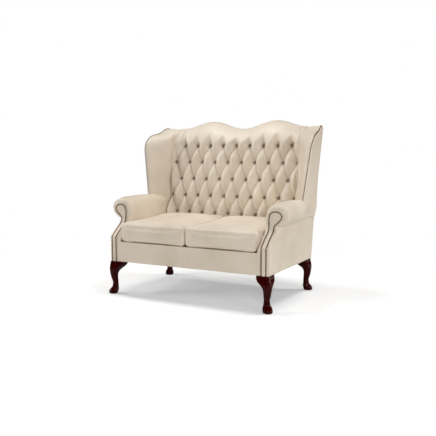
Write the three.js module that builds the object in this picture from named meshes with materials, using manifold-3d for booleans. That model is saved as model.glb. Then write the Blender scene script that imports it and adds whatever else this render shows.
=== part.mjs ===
// High back settee: two loose seat cushions, deep buttoned back, wings, scroll arms and cabriole legs.
// Millimetres, +Z up, +X to the viewer's right, +Y from the front to the back.
import * as THREE from "three";
import { mergeVertices } from "three/addons/utils/BufferGeometryUtils.js";
import Module from "manifold-3d";

const wasm = await Module();
wasm.setup();

// Driving dimensions: heights from the floor up
const leg_height = 203;
const border_height = 122;
const outside_arm_height = 253;
const roll_height = 121;
const crest_height = 1070;
const centre_dip = 52;
const end_dip = 48;
const wing_drop = 41.7;

// Driving dimensions: widths
const body_width = 1053;
const arm_width = 74.5;
const roll_width = 139;
const crest_spacing = 470;
const wing_flare = 63.5;

// Driving dimensions: depths and rakes
const base_depth = 667;
const roll_setback = 104;
const wing_reach = 218;
const back_thickness = 159;
const back_rake = THREE.MathUtils.degToRad(8.6);
const tuft_rake = THREE.MathUtils.degToRad(15.6);
const wing_lean = THREE.MathUtils.degToRad(3.6);

// Buttoning
const button_pitch = 96.5;
const row_spacing = 110;
const top_row_drop = 163;
const button_radius = 8;
const button_rise = 6;
const button_seat = 11.5;
const tuft_crown = 36;
const pad_core = 20;
const tie_width = 10;
const tie_thickness = 3;

// Covers, pads and trim
const cover_thickness = 5;
const border_thickness = 14;
const facing_thickness = 8;
const trim_width = 5;
const trim_thickness = 1.2;
const deck_thickness = 20;
const hessian_thickness = 3;
const dust_cover_thickness = 1.2;
const back_edge_drop = 12;
const seam_depth = 1.5;
const seam_width = 4;

// Seat cushions
const cushion_height = 113;
const cushion_crown = 17;
const cushion_side_gap = 4;
const cushion_split = 1;
const cushion_corner = 34;
const cushion_draw = 5;

// Timber
const rail_thickness = 28;
const rail_height = 97;
const post_width = 27;
const post_depth = 35;
const front_post_depth = 40;
const brace_width = 30;
const block_reach = 66;
const block_height = 60;
const wing_board = 20;
const wing_board_inset = 20;
const top_rail_height = 85;
const top_rail_drop = 40;
const lower_rail_height = 50;
const leg_top_width = 76;

// Seat springs
const spring_count = 5;
const spring_wire = 3.6;
const spring_swing = 44;
const spring_pitch = 61;
const spring_steps = 4;

// Clearance between pieces that touch, and the distance at which corners are one corner
const fit_gap = 0.3;
const weld_distance = 0.001;

// Levels and planes that several pieces share
const half_body = body_width / 2;
const half_seat = half_body - arm_width;
const half_wings = half_body + wing_flare;
const border_top = leg_height + border_height;
const roll_base = leg_height + outside_arm_height;
const roll_top = roll_base + roll_height;
const wing_base = roll_top + fit_gap;
const wing_height = crest_height - wing_drop - wing_base;
const rail_top = leg_height + rail_height;
const peak_x = crest_spacing / 2;
const wing_setback = base_depth - wing_reach;
const inside_back_depth = base_depth - back_thickness;
const back_y = (z) => base_depth + (z - leg_height) * Math.tan(back_rake);
const tuft_y = (z) => inside_back_depth + (z - border_top) * Math.tan(tuft_rake);
const behind_tufts = (z, depth) => tuft_y(z) + depth / Math.cos(tuft_rake);
const inner_back_y = (z) => back_y(z) - cover_thickness - fit_gap;

/** Value of a table of [place, value] pairs at a place, on straight lines between them. */
function between(table, place) {
  const next = table.findIndex((entry) => entry[0] >= place);
  if (next === 0) return table[0][1];
  if (next < 0) return table[table.length - 1][1];
  const [p0, v0] = table[next - 1];
  const [p1, v1] = table[next];
  return v0 + ((v1 - v0) * (place - p0)) / (p1 - p0);
}

/** Height of the top of the back at x: two humps with a dip between them and at each end. */
function crest_z(x) {
  const off = Math.min(Math.abs(x), half_seat) - peak_x;
  const span = off < 0 ? peak_x : half_seat - peak_x;
  const dip = off < 0 ? centre_dip : end_dip;
  return crest_height - (dip * (1 - Math.cos((Math.PI * off) / span))) / 2;
}

/** Geometry from points and faces, turned so that its faces point outwards. */
function closed(points, faces) {
  let volume = 0;
  const corner = points.map((p) => new THREE.Vector3(...p));
  for (const [a, b, c] of faces) volume += corner[a].dot(corner[b].clone().cross(corner[c]));
  const index = volume < 0 ? faces.map(([a, b, c]) => [a, c, b]) : faces;
  const geometry = new THREE.BufferGeometry();
  geometry.setAttribute("position", new THREE.Float32BufferAttribute(points.flat(), 3));
  geometry.setIndex(index.flat());
  return geometry;
}

/** Faces that close the end of a loft: a fan about a middle point, or cut ears for a bent ring. */
function cap(ring, first, forward, bent, points) {
  const sign = forward ? 1 : -1;
  if (!bent) {
    const middle = [0, 1, 2].map((axis) => ring.reduce((sum, p) => sum + p[axis], 0) / ring.length);
    points.push(middle);
    const hub = points.length - 1;
    return ring.map((p, k) => {
      const pair = [first + k, first + ((k + 1) % ring.length)];
      return forward ? [...pair, hub] : [pair[1], pair[0], hub];
    });
  }
  const flat = ring.map((p) => new THREE.Vector2(p[bent[0]], p[bent[1]]));
  const turn = Math.sign(THREE.ShapeUtils.area(flat)) * sign;
  return THREE.ShapeUtils.triangulateShape(flat, []).map(([a, b, c]) => {
    const area = THREE.ShapeUtils.area([flat[a], flat[b], flat[c]]);
    return Math.sign(area) === turn ? [first + a, first + b, first + c] : [first + a, first + c, first + b];
  });
}

/** Closed body through rings of equal count; bent names the two axes in which bent end rings lie. */
function loft(rings, bent, diagonal = () => false) {
  const count = rings[0].length;
  const points = rings.flat().map((p) => [...p]);
  const faces = [];
  for (let r = 0; r < rings.length - 1; r++) {
    for (let k = 0; k < count; k++) {
      const a = r * count + k;
      const b = r * count + ((k + 1) % count);
      if (diagonal(r, k)) faces.push([a, b, a + count], [b, b + count, a + count]);
      else faces.push([a, b, b + count], [a, b + count, a + count]);
    }
  }
  const last = (rings.length - 1) * count;
  faces.push(...cap(rings[0], 0, false, bent, points));
  faces.push(...cap(rings[rings.length - 1], last, true, bent, points));
  return closed(points, faces);
}

/** Closed sheet with a thickness: near and far give its two faces at the listed shares. */
function sheet(us, vs, near, far) {
  const points = [];
  for (const side of [near, far]) for (const v of vs) for (const u of us) points.push(side(u, v));
  const wide = us.length;
  const tall = vs.length;
  const at = (side, i, j) => side * wide * tall + j * wide + i;
  const faces = [];
  const quad = (a, b, c, d) => faces.push([a, b, c], [a, c, d]);
  for (let j = 0; j < tall - 1; j++) {
    for (let i = 0; i < wide - 1; i++) {
      quad(at(0, i, j), at(0, i + 1, j), at(0, i + 1, j + 1), at(0, i, j + 1));
      quad(at(1, i, j), at(1, i, j + 1), at(1, i + 1, j + 1), at(1, i + 1, j));
    }
    quad(at(0, 0, j), at(0, 0, j + 1), at(1, 0, j + 1), at(1, 0, j));
    quad(at(0, wide - 1, j), at(1, wide - 1, j), at(1, wide - 1, j + 1), at(0, wide - 1, j + 1));
  }
  for (let i = 0; i < wide - 1; i++) {
    quad(at(0, i, 0), at(1, i, 0), at(1, i + 1, 0), at(0, i + 1, 0));
    quad(at(0, i, tall - 1), at(0, i + 1, tall - 1), at(1, i + 1, tall - 1), at(1, i, tall - 1));
  }
  return closed(points, faces);
}

/** Even shares from 0 to 1. */
const shares = (steps) => Array.from({ length: steps + 1 }, (_, k) => k / steps);

/** Box between two corners. */
function block(low, high) {
  const size = high.map((value, axis) => value - low[axis]);
  const geometry = new THREE.BoxGeometry(...size);
  return geometry.translate(...low.map((value, axis) => value + size[axis] / 2));
}

/** Geometry reflected to the other side of the settee. */
function mirrored(geometry) {
  const copy = geometry.clone().scale(-1, 1, 1);
  const index = Array.from(copy.index.array);
  for (let k = 0; k < index.length; k += 3) [index[k], index[k + 1]] = [index[k + 1], index[k]];
  copy.setIndex(index);
  return copy;
}

/** Solid for cutting and joining. */
function solid(geometry) {
  const bare = new THREE.BufferGeometry();
  bare.setAttribute("position", geometry.attributes.position.clone());
  bare.setIndex(geometry.index ? geometry.index.clone() : null);
  const welded = mergeVertices(bare, weld_distance);
  const vertProperties = new Float32Array(welded.attributes.position.array);
  const triVerts = new Uint32Array(welded.index.array);
  return new wasm.Manifold(new wasm.Mesh({ numProp: 3, vertProperties, triVerts }));
}

/** Geometry of a cut or joined solid. */
function shaped(body) {
  const mesh = body.getMesh();
  const geometry = new THREE.BufferGeometry();
  geometry.setAttribute("position", new THREE.Float32BufferAttribute(mesh.vertProperties, 3));
  geometry.setIndex(Array.from(mesh.triVerts));
  return geometry;
}

const joined = (...parts) => shaped(parts.map(solid).reduce((sum, next) => sum.add(next)));
const cut = (base, ...tools) =>
  shaped(tools.map(solid).reduce((rest, next) => rest.subtract(next), solid(base)));

// Finishes
const finish = (color, roughness, metalness = 0) =>
  new THREE.MeshStandardMaterial({ color, roughness, metalness });
const leather = () => finish("#e3d5c0", 0.5);
const beech = () => finish("#c9a878", 0.7);
const mahogany = () => finish("#3a0a08", 0.25);
const antique_brass = () => finish("#6b5a50", 0.4, 0.9);
const spring_steel = () => finish("#6e7073", 0.4, 0.9);
const black_cloth = () => finish("#1d1c1c", 0.9);
const hessian = () => finish("#a98f63", 0.95);
const felt = () => finish("#8d8a85", 0.95);

const settee = new THREE.Group();

/** Adds one named piece to an assembly. */
function add(assembly, name, geometry, material) {
  const mesh = new THREE.Mesh(geometry, material);
  mesh.name = name;
  assembly.add(mesh);
  return mesh;
}

/** Adds a piece on the right and its mirror image on the left. */
function add_pair(assembly, name, geometry, material) {
  add(assembly, `${name}_right`, geometry, material());
  add(assembly, `${name}_left`, mirrored(geometry), material());
}

/** New assembly inside the settee. */
function assembly() {
  const group = new THREE.Group();
  settee.add(group);
  return group;
}

// Scroll front of the arm, seen from the side: setback and height shares, from its lower bend up
const scroll_shares = [[0, 0], [0.08, 0.1], [0.385, 0.43], [0.65, 0.81], [0.84, 0.94], [1, 1]];
const scroll_height = 101;
const scroll_foot = roll_base - scroll_height;
const front_y = (z) => roll_setback * between(scroll_shares, (z - scroll_foot) / scroll_height);
const scroll_levels = scroll_shares.map(([rise]) => scroll_foot + rise * scroll_height);

// Arm roll section in shares of its width and height, from the inside face over the top to its tail
const roll_shares = [
  [0, 0.35], [0.03, 0.64], [0.11, 0.84], [0.28, 0.965], [0.55, 1], [0.77, 0.93], [0.93, 0.79],
  [1, 0.58], [0.965, 0.37], [0.84, 0.17], [0.65, 0], [0.5, 0.004],
];
const core_shares = [
  [0.18, 0.35], [0.19, 0.58], [0.24, 0.71], [0.36, 0.79], [0.54, 0.81], [0.68, 0.775], [0.775, 0.69],
  [0.81, 0.58], [0.8, 0.42], [0.74, 0.3], [0.63, 0.17], [0.5, 0.1],
];
const core_width_share = 0.18;
const core_base_share = 0.1;
// The roll narrows to the back, where it runs into the wing
const roll_taper_shares = [[0, 1], [0.5, 1], [0.72, 0.88], [1, 0.56]];
const arm_front = roll_setback + facing_thickness + fit_gap;
const arm_back = back_y(border_top) - cover_thickness - post_depth - 3 * fit_gap;
const inside_arm = half_seat + core_width_share * roll_width;
const panel_inner = half_body - cover_thickness;

/** Point of the roll section at y, from its shares. */
function roll_point([across, up], y) {
  const taper = between(roll_taper_shares, (y - arm_front) / (arm_back - arm_front));
  const x = half_seat + across * roll_width;
  const narrowed = x > inside_arm ? inside_arm + (x - inside_arm) * taper : x;
  return [narrowed, y, roll_base + up * roll_height];
}

/** Timber core of the roll between the front post and the back post, drawn in by a gap on every side. */
function arm_core(gap, overrun) {
  const hub = [0.5, 0.45];
  const outline = [[core_width_share, core_base_share], ...core_shares];
  const stations = [0, 0.5, 0.72, 0.86, 1];
  const rings = stations.map((along) => {
    const y = arm_front + along * (arm_back - arm_front);
    const middle = roll_point(hub, y);
    return outline.map((point) => {
      const p = roll_point(point, y);
      return p.map((value, axis) => value + Math.sign(middle[axis] - value) * gap);
    });
  });
  for (const p of rings[0]) p[1] -= overrun;
  for (const p of rings[rings.length - 1]) p[1] += overrun;
  return loft(rings, [0, 2]);
}

/** Soft cover and stuffing of one arm: the inside wall, and the roll round its timber core. */
function arm_pad() {
  const stations = [[0, 0.3], [0.012, 0.62], [0.03, 0.86], [0.055, 1], [0.5, 1], [0.72, 1], [0.86, 1], [1, 1]];
  const last_core = core_shares[core_shares.length - 1];
  const inner = [last_core, [core_width_share, core_base_share], core_shares[0]];
  const rings = stations.map(([along, full]) => {
    const y = arm_front + along * (arm_back - arm_front);
    const outer = roll_shares.map((point, k) => {
      const core = core_shares[k];
      return roll_point([core[0] + (point[0] - core[0]) * full, core[1] + (point[1] - core[1]) * full], y);
    });
    return [...outer, ...inner.map((point) => roll_point(point, y))];
  });
  const roll = cut(loft(rings, [0, 2]), arm_core(0, cover_thickness));
  const lap_share = 0.45;
  const wall_levels = [...scroll_levels, roll_base + roll_height * lap_share];
  const low = border_top + fit_gap;
  const heights = [low, ...wall_levels.filter((z) => z > low + fit_gap)];
  const start = (z) => front_y(z) + facing_thickness + fit_gap;
  const wall = loft(
    heights.map((z) => [
      [half_seat, start(z), z], [inside_arm, start(z), z], [inside_arm, arm_back, z], [half_seat, arm_back, z],
    ]),
  );
  return joined(roll, wall);
}

// Arm facing outline seen from the front: height, inner and outer edges in shares of the roll
const facing_shares = [
  [0.115, 0.164, 0.505], [0.28, 0.168, 0.62], [0.405, 0.174, 0.705], [0.52, 0.18, 0.76],
  [0.628, 0.235, 0.73], [0.7, 0.32, 0.64], [0.745, 0.42, 0.545],
];
const facing_foot_shares = [0.0755, 0.48];
const facing_neck_shares = [0.155, 0.46];

/** Edges of the facing at every level, from its foot to the top of its loop. */
function facing_rows() {
  const foot = facing_foot_shares.map((share) => half_seat + share * roll_width);
  const neck = facing_neck_shares.map((share) => half_seat + share * roll_width);
  const rows = [[leg_height, ...foot]];
  for (const z of scroll_levels) {
    const up = (z - scroll_foot) / scroll_height;
    rows.push([z, foot[0] + (neck[0] - foot[0]) * up, foot[1] + (neck[1] - foot[1]) * up]);
  }
  for (const [up, inner, outer] of facing_shares) {
    rows.push([roll_base + up * roll_height, half_seat + inner * roll_width, half_seat + outer * roll_width]);
  }
  return rows;
}

/** Scroll facing on the front of one arm, bent back along the front of the arm. */
function arm_facing() {
  const rows = facing_rows();
  const us = shares(4);
  const place = (depth) => (u, v) => {
    const [z, inner, outer] = rows[v];
    return [inner + (outer - inner) * u, front_y(z) + depth, z];
  };
  return sheet(us, rows.map((row, v) => v), place(0), place(facing_thickness));
}

// Nail line on the facing, up its inner side, round the loop and down its outer side
const nail_inner_share = 0.2;
const nail_outer_share = 0.4;
const nail_loop_shares = [
  [0.2, 0.4], [0.216, 0.52], [0.25, 0.61], [0.33, 0.675], [0.47, 0.7], [0.6, 0.67], [0.69, 0.6],
  [0.72, 0.52], [0.69, 0.42], [0.6, 0.27], [0.44, 0.08],
];

/** Flat strip of a width and a thickness laid along points that each have an outward normal. */
function strip(stops) {
  const places = stops.map((stop) => new THREE.Vector3(...stop.at));
  const rings = stops.map((stop, k) => {
    const next = places[Math.min(k + 1, places.length - 1)];
    const along = next.clone().sub(places[Math.max(k - 1, 0)]).normalize();
    const out = new THREE.Vector3(...stop.out).normalize();
    const side = along.clone().cross(out).normalize();
    return [[-1, 0], [1, 0], [1, 1], [-1, 1]].map(([across, up]) => {
      const lift = fit_gap + up * trim_thickness;
      const p = places[k].clone().addScaledVector(side, (across * trim_width) / 2).addScaledVector(out, lift);
      return p.toArray();
    });
  });
  return loft(rings);
}

/** Nail strip of one arm facing. */
function arm_nail_trim() {
  const tilt = (z) => {
    const step = scroll_height / 50;
    const slope = (front_y(z + step) - front_y(z - step)) / (2 * step);
    return [0, -1, slope];
  };
  const upright = (share, z) => ({ at: [half_seat + share * roll_width, front_y(z), z], out: tilt(z) });
  const levels = [leg_height, ...scroll_levels];
  const loop = nail_loop_shares.map(([across, up]) => ({
    at: [half_seat + across * roll_width, roll_setback, roll_base + up * roll_height],
    out: [0, -1, 0],
  }));
  const inner = levels.map((z) => upright(nail_inner_share, z));
  const outer = [...levels].reverse().map((z) => upright(nail_outer_share, z));
  return strip([...inner, ...loop, ...outer]);
}

/** Outside arm panel between the bottom edge and the roll. */
function outside_arm() {
  const heights = [leg_height, ...scroll_levels.slice(0, -1), roll_base - fit_gap];
  return loft(
    heights.map((z) => [
      [panel_inner, front_y(z), z], [half_body, front_y(z), z],
      [half_body, inner_back_y(z), z], [panel_inner, inner_back_y(z), z],
    ]),
  );
}

// Front post: behind the facing, from the leg to the arm rail
const front_post_inner = inside_arm + fit_gap;
const front_post_outer = panel_inner - fit_gap;
function front_post() {
  const top = roll_base + core_base_share * roll_height;
  const heights = [leg_height, ...scroll_levels, top];
  const start = (z) => front_y(z) + facing_thickness + fit_gap;
  return loft(
    heights.map((z) => [
      [front_post_inner, start(z), z], [front_post_outer, start(z), z],
      [front_post_outer, start(z) + front_post_depth, z], [front_post_inner, start(z) + front_post_depth, z],
    ]),
  );
}

// Back post: raked, beside the outside arm panel below and the wing board above
const post_inner = inside_arm + 3 * fit_gap;
const post_outer = post_inner + post_width;
const post_top_drop = 30;
function back_post(grow = 0, overrun = 0) {
  const top = wing_base + wing_height - post_top_drop + grow;
  return loft(
    [leg_height, top].map((z) => {
      const rear = inner_back_y(z) - fit_gap + overrun;
      const front = rear - post_depth - overrun - grow;
      return [
        [post_inner - grow, front, z], [post_outer + grow, front, z],
        [post_outer + grow, rear, z], [post_inner - grow, rear, z],
      ];
    }),
  );
}

// Wing seen from the side: depth share from its front edge, and height share
const wing_top_shares = [
  [0, 0.665], [0.03, 0.738], [0.08, 0.792], [0.156, 0.843], [0.244, 0.878], [0.334, 0.898],
  [0.43, 0.907], [0.52, 0.927], [0.616, 0.956], [0.77, 1], [1, 0.97],
];
// Wing pad in plan: depth share to the seam with the back, and share of its full thickness
const wing_plump_shares = [[0, 0.1], [0.09, 0.25], [0.3, 0.42], [0.6, 0.68], [0.85, 0.91], [1, 1]];
const seam_setback = 125;
const seam_lean = THREE.MathUtils.degToRad(6);
const wing_flare_share = 0.125;
const rear_flare_share = 0.043;

const wing_front_y = (z) => wing_setback + (z - wing_base) * Math.tan(wing_lean);
const seam_y = (z) => wing_setback + seam_setback + (z - wing_base) * Math.tan(seam_lean);
const wing_widest = wing_base + wing_height * between(wing_top_shares, 0.156);

/** Outside of the wing at a depth and a height. */
function wing_x(y, z) {
  const front = half_wings - (wing_widest - z) * wing_flare_share;
  const rear = half_body + (z - roll_base) * rear_flare_share;
  const share = (back_y(z) - y) / (back_y(z) - wing_front_y(z));
  return rear + (front - rear) * share;
}

/** Height of a wing piece at a depth share and a height share, kept a drop below its outline. */
function wing_z(depth, height, drop) {
  const top = wing_base + wing_height * between(wing_top_shares, depth) - drop;
  return wing_base + (top - wing_base) * height;
}

const wing_depth_shares = [0, 0.01, 0.03, 0.08, 0.156, 0.244, 0.334, 0.43, 0.52, 0.616, 0.77, 1];
const wing_height_shares = [0, 0.25, 0.5, 0.75, 1];

/** Point of a wing piece: its depth runs from the front edge to the outside back. */
function wing_point(depth, height, inset, drop, sideways, overrun = 0) {
  const z = wing_z(depth, height, drop) - (height > 0 ? 0 : overrun);
  const front = wing_front_y(z) + inset;
  const y = front + (inner_back_y(z) - front) * depth + (depth < 1 ? 0 : overrun);
  return [sideways(y, z), y, z];
}

/** Outside wing panel, with the strip that closes the back corner beside the roll. */
function outside_wing() {
  const face = (offset) => (u, v) => wing_point(u, v, 0, 0, (y, z) => wing_x(y, z) - offset);
  const panel = sheet(wing_depth_shares, wing_height_shares, face(0), face(cover_thickness));
  const lap = cover_thickness;
  const corner = [roll_base, wing_base + lap].map((z) => {
    const start = arm_back + fit_gap;
    return [[start, cover_thickness], [start, 0], [inner_back_y(z), 0], [inner_back_y(z), cover_thickness]].map(
      ([y, offset]) => [wing_x(y, z) - offset, y, z],
    );
  });
  return joined(panel, loft(corner));
}

/** Timber board of the wing, inside its panel. */
function wing_frame(grow = 0, overrun = 0) {
  const outer = cover_thickness + fit_gap - overrun;
  const inner = cover_thickness + fit_gap + wing_board + grow;
  const inset = wing_board_inset - grow;
  const face = (offset) => (u, v) =>
    wing_point(u, v, inset, inset, (y, z) => wing_x(y, z) - offset, overrun);
  return sheet(wing_depth_shares, wing_height_shares, face(outer), face(inner));
}

/** Soft pad of the wing, from its rounded front edge to the seam with the back. */
function wing_pad() {
  const outer = (u, v) => wing_point(u, v, 0, 0, (y, z) => wing_x(y, z) - cover_thickness - fit_gap);
  const inner = (u, v) =>
    wing_point(u, v, 0, 0, (y, z) => {
      const full = wing_x(y, z) - half_seat - cover_thickness - 2 * fit_gap;
      const depth = (y - wing_front_y(z)) / (seam_y(z) - wing_front_y(z));
      return wing_x(y, z) - cover_thickness - fit_gap - full * between(wing_plump_shares, depth);
    });
  const pad = sheet(wing_depth_shares, wing_height_shares, outer, inner);
  const overrun = 2 * cover_thickness;
  return cut(pad, wing_frame(fit_gap, overrun), back_post(fit_gap, overrun), top_back_rail(fit_gap));
}

/** Nail strip round the front and top edge of one wing. */
function wing_nail_trim() {
  const front = [0, 0.25, 0.5, 0.75].map((height) => [0, height]);
  const over = wing_depth_shares.filter((depth) => depth !== 0.01).map((depth) => [depth, 1]);
  const edge = [...front, ...over].map(([depth, height]) =>
    wing_point(depth, height, 0, 0, (y, z) => wing_x(y, z) - trim_width / 2),
  );
  return strip(
    edge.map((at, k) => {
      const [, y0, z0] = edge[Math.max(k - 1, 0)];
      const [, y1, z1] = edge[Math.min(k + 1, edge.length - 1)];
      return { at, out: [0, z0 - z1, y1 - y0] };
    }),
  );
}

// Buttoning lattice: a quarter pitch across and half a row down; buttons where pleats cross
const cells_per_pitch = 4;
const quarter_pitch = button_pitch / cells_per_pitch;
const pad_half = half_seat - fit_gap;
const opening = button_seat + 2 * fit_gap;
const last_column = Math.floor((pad_half - opening) / quarter_pitch);
const top_row_height = crest_height - top_row_drop;
const row_count = 1 + Math.floor((top_row_height - border_top - cushion_height) / row_spacing);
const bottom_row = 2 * (row_count - 1);
const pleat_share = 0.4;
const plump_power = 0.6;

// Places across the back at which the top rail changes height
const rail_stops = [];
for (let i = 0; i <= last_column; i += 2) rail_stops.push(i * quarter_pitch);
const rail_end = post_inner - fit_gap;
const rail_line = [...rail_stops, rail_end].map((x) => [x, crest_z(x) - top_rail_drop]);
const rail_z = (x) => between(rail_line, Math.abs(x));

/** Serpentine top rail, under the roll at the top of the back. */
function top_back_rail(grow = 0) {
  const ends = rail_stops.slice(1);
  const stops = [-rail_end - grow, ...[...ends].reverse().map((x) => -x), 0, ...ends, rail_end + grow];
  const depth = pad_core + tie_thickness + hessian_thickness + 3 * fit_gap;
  return loft(
    stops.map((x) => {
      const high = rail_z(x) + grow;
      const low = high - top_rail_height - 2 * grow;
      const y = (z) => behind_tufts(z, depth) - grow;
      const rear = (z) => inner_back_y(z) - fit_gap + grow;
      return [[x, y(low), low], [x, rear(low), low], [x, rear(high), high], [x, y(high), high]];
    }),
  );
}

/** Share of the full crown at a lattice place: nothing at a button, all of it between four buttons. */
function plump(i, j) {
  const a = Math.abs(Math.sin((Math.PI * (i + j)) / cells_per_pitch));
  const b = Math.abs(Math.sin((Math.PI * (i - j)) / cells_per_pitch));
  return (1 - pleat_share) * Math.pow(a * b, plump_power) + (pleat_share * (a + b)) / 2;
}

/** Places of the buttons of a row across the back. */
function button_xs(row) {
  const xs = [];
  for (let i = -last_column; i <= last_column; i++) {
    if ((i + 2 * row) % cells_per_pitch === 0) xs.push(i * quarter_pitch);
  }
  return xs;
}

const row_z = (j) => top_row_height - (j * row_spacing) / 2;

// Above the top row the pleats run straight up and fade; below the last row they run down
const rise_fades_share = [
  [-2, 0.85], [-1, 0.5], [0, 0], [bottom_row, 0], [bottom_row + 1, 0.35], [bottom_row + 2, 0.55],
];
const rise_share = 0.45;
const lower_crown_share = 0.6;
const edge_share = [0.25, 0.35];
// Roll at the top of the back: depth share behind its front, and drop share below the crest
const top_roll_shares = [[0.09, 0.4], [0.32, 0.06], [0.66, 0]];
const top_roll_drop = 45;

/** One slice of the back pad across its thickness, at lattice column i. */
function back_slice(i) {
  const edge = Math.abs(i) > last_column;
  const x = edge ? Math.sign(i) * pad_half : i * quarter_pitch;
  const crest = crest_z(x);
  const low = border_top + fit_gap;
  const levels = [];
  for (let j = bottom_row + 2; j >= -2; j--) levels.push(j);
  const z_of = (j) => {
    if (j === bottom_row + 2) return low;
    if (j === -2) return crest - top_roll_drop;
    if (j === -1) return top_row_height + (crest - top_roll_drop - top_row_height) * rise_share;
    return row_z(j);
  };
  const face = levels.map((j) => {
    const lattice = plump(i, Math.min(Math.max(j, 0), bottom_row));
    const whole = edge ? edge_share[0] + edge_share[1] * lattice : lattice;
    const faded = whole + (1 - whole) * between(rise_fades_share, j) * (edge ? rise_share : 1);
    const lower = j > bottom_row ? lower_crown_share : 1;
    const height = tuft_crown * faded * lower;
    const z = z_of(j);
    const lift = j > bottom_row || j < 0 ? 0 : height * Math.sin(tuft_rake);
    return [x, tuft_y(z) - height * Math.cos(tuft_rake), z + lift];
  });
  const front = face[face.length - 1][1];
  const seat_z = rail_z(x) + fit_gap;
  const rear = inner_back_y(crest - back_edge_drop);
  const roll = top_roll_shares.map(([back, down]) => [
    x, front + (rear - front) * back, crest - top_roll_drop * down,
  ]);
  const depth = pad_core;
  return [
    ...face, ...roll, [x, rear, crest - back_edge_drop], [x, inner_back_y(seat_z), seat_z],
    [x, behind_tufts(seat_z, depth), seat_z], [x, behind_tufts(low, depth), low],
  ];
}

/** Diamond peg through the pad at each button of a row, square to the buttoned face. */
function pegs(row, size, from, to) {
  return button_xs(row).map((x) => {
    const peg = new THREE.CylinderGeometry(size, size, to - from, 4, 1);
    peg.translate(0, (from + to) / 2, 0);
    peg.rotateX(-tuft_rake);
    const z = row_z(2 * row);
    return peg.translate(x, tuft_y(z), z);
  });
}

/** Deep buttoned back pad, with a diamond opening at each button for its ties. */
function back_pad() {
  const first = -last_column - 1;
  const slices = [];
  for (let i = first; i <= -first; i++) slices.push(back_slice(i));
  const tall = slices[0].length;
  const top_level = bottom_row + 2;
  const points = slices.flat();
  const at = (c, k) => c * tall + (k % tall);
  const is_button = (c, k) => {
    const j = top_level - k;
    const i = first + c;
    const on_row = j >= 0 && j <= bottom_row && j % 2 === 0;
    return on_row && Math.abs(i) <= last_column && (i + j) % cells_per_pitch === 0;
  };
  const up_face = new THREE.Vector3(0, Math.sin(tuft_rake), Math.cos(tuft_rake));
  const into = new THREE.Vector3(0, Math.cos(tuft_rake), -Math.sin(tuft_rake));
  const across = new THREE.Vector3(1, 0, 0);
  const rims = new Map();
  const back_loops = [];
  const faces = [];

  // Rim of each opening: east, north, west and south, first on the buttoned face and then at the back
  for (let c = 0; c < slices.length; c++) {
    for (let k = 0; k < tall; k++) {
      if (!is_button(c, k)) continue;
      const hub = new THREE.Vector3(...points[at(c, k)]);
      const start = points.length;
      const ways = [[1, 0, across], [0, 1, up_face], [-1, 0, across], [0, -1, up_face]];
      for (const [dc, dk, way] of ways) {
        const arm = new THREE.Vector3(...points[at(c + dc, k + dk)]).sub(hub);
        points.push(hub.clone().addScaledVector(arm, opening / Math.abs(arm.dot(way))).toArray());
      }
      for (const [dc, dk, way] of ways) {
        const place = hub.clone().addScaledVector(way, opening * (dc + dk)).addScaledVector(into, pad_core);
        points.push(place.toArray());
      }
      rims.set(at(c, k), start);
      back_loops.push([0, 1, 2, 3].map((n) => start + 4 + n));
      for (let n = 0; n < 4; n++) {
        const [a, b] = [start + n, start + ((n + 1) % 4)];
        faces.push([b, a, a + 4], [b, a + 4, b + 4]);
      }
    }
  }

  // Cells of the face, the roll and the underside, with their diagonals along the pleats
  const corner_rims = [[0, 1], [3, 0], [2, 3], [1, 2]];
  for (let c = 0; c < slices.length - 1; c++) {
    for (let k = 0; k < tall; k++) {
      if (k === tall - 2) continue;
      const cell = [at(c, k), at(c, k + 1), at(c + 1, k + 1), at(c + 1, k)];
      const button = cell.findIndex((corner) => rims.has(corner));
      if (button < 0) {
        const along = (first + c - (top_level - k)) % cells_per_pitch;
        const [p, q, r, s] = along === 0 ? [...cell.slice(1), cell[0]] : cell;
        faces.push([p, q, r], [p, r, s]);
        continue;
      }
      const [after, far, before] = [1, 2, 3].map((n) => cell[(button + n) % 4]);
      const [r1, r2] = corner_rims[button].map((n) => rims.get(cell[button]) + n);
      faces.push([before, r1, far], [r1, r2, far], [r2, after, far]);
    }
  }

  // Flat back of the pad, round its openings: its long edges are bowed inwards while it is divided
  const bowed = (index, bow) => {
    const [x, , z] = points[index];
    return new THREE.Vector2(x, z + bow * (1 - (x / pad_half) ** 2));
  };
  const foot = slices.map((slice, c) => at(c, tall - 1));
  const head = slices.map((slice, c) => at(c, tall - 2)).reverse();
  const outline = [
    ...foot.map((index) => bowed(index, tie_thickness)), ...head.map((index) => bowed(index, -tie_thickness)),
  ];
  const order = [...foot, ...head, ...back_loops.flat()];
  const loops = back_loops.map((loop) => loop.map((index) => bowed(index, 0)));
  for (const triple of THREE.ShapeUtils.triangulateShape(outline, loops)) {
    const [a, b, c] = triple.map((n) => order[n]);
    const area = THREE.ShapeUtils.area([a, b, c].map((index) => bowed(index, 0)));
    faces.push(area > 0 ? [a, b, c] : [a, c, b]);
  }
  faces.push(...cap(slices[0], 0, false, [1, 2], points));
  faces.push(...cap(slices[slices.length - 1], at(slices.length - 1, 0), true, [1, 2], points));
  return closed(points, faces);
}

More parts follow.
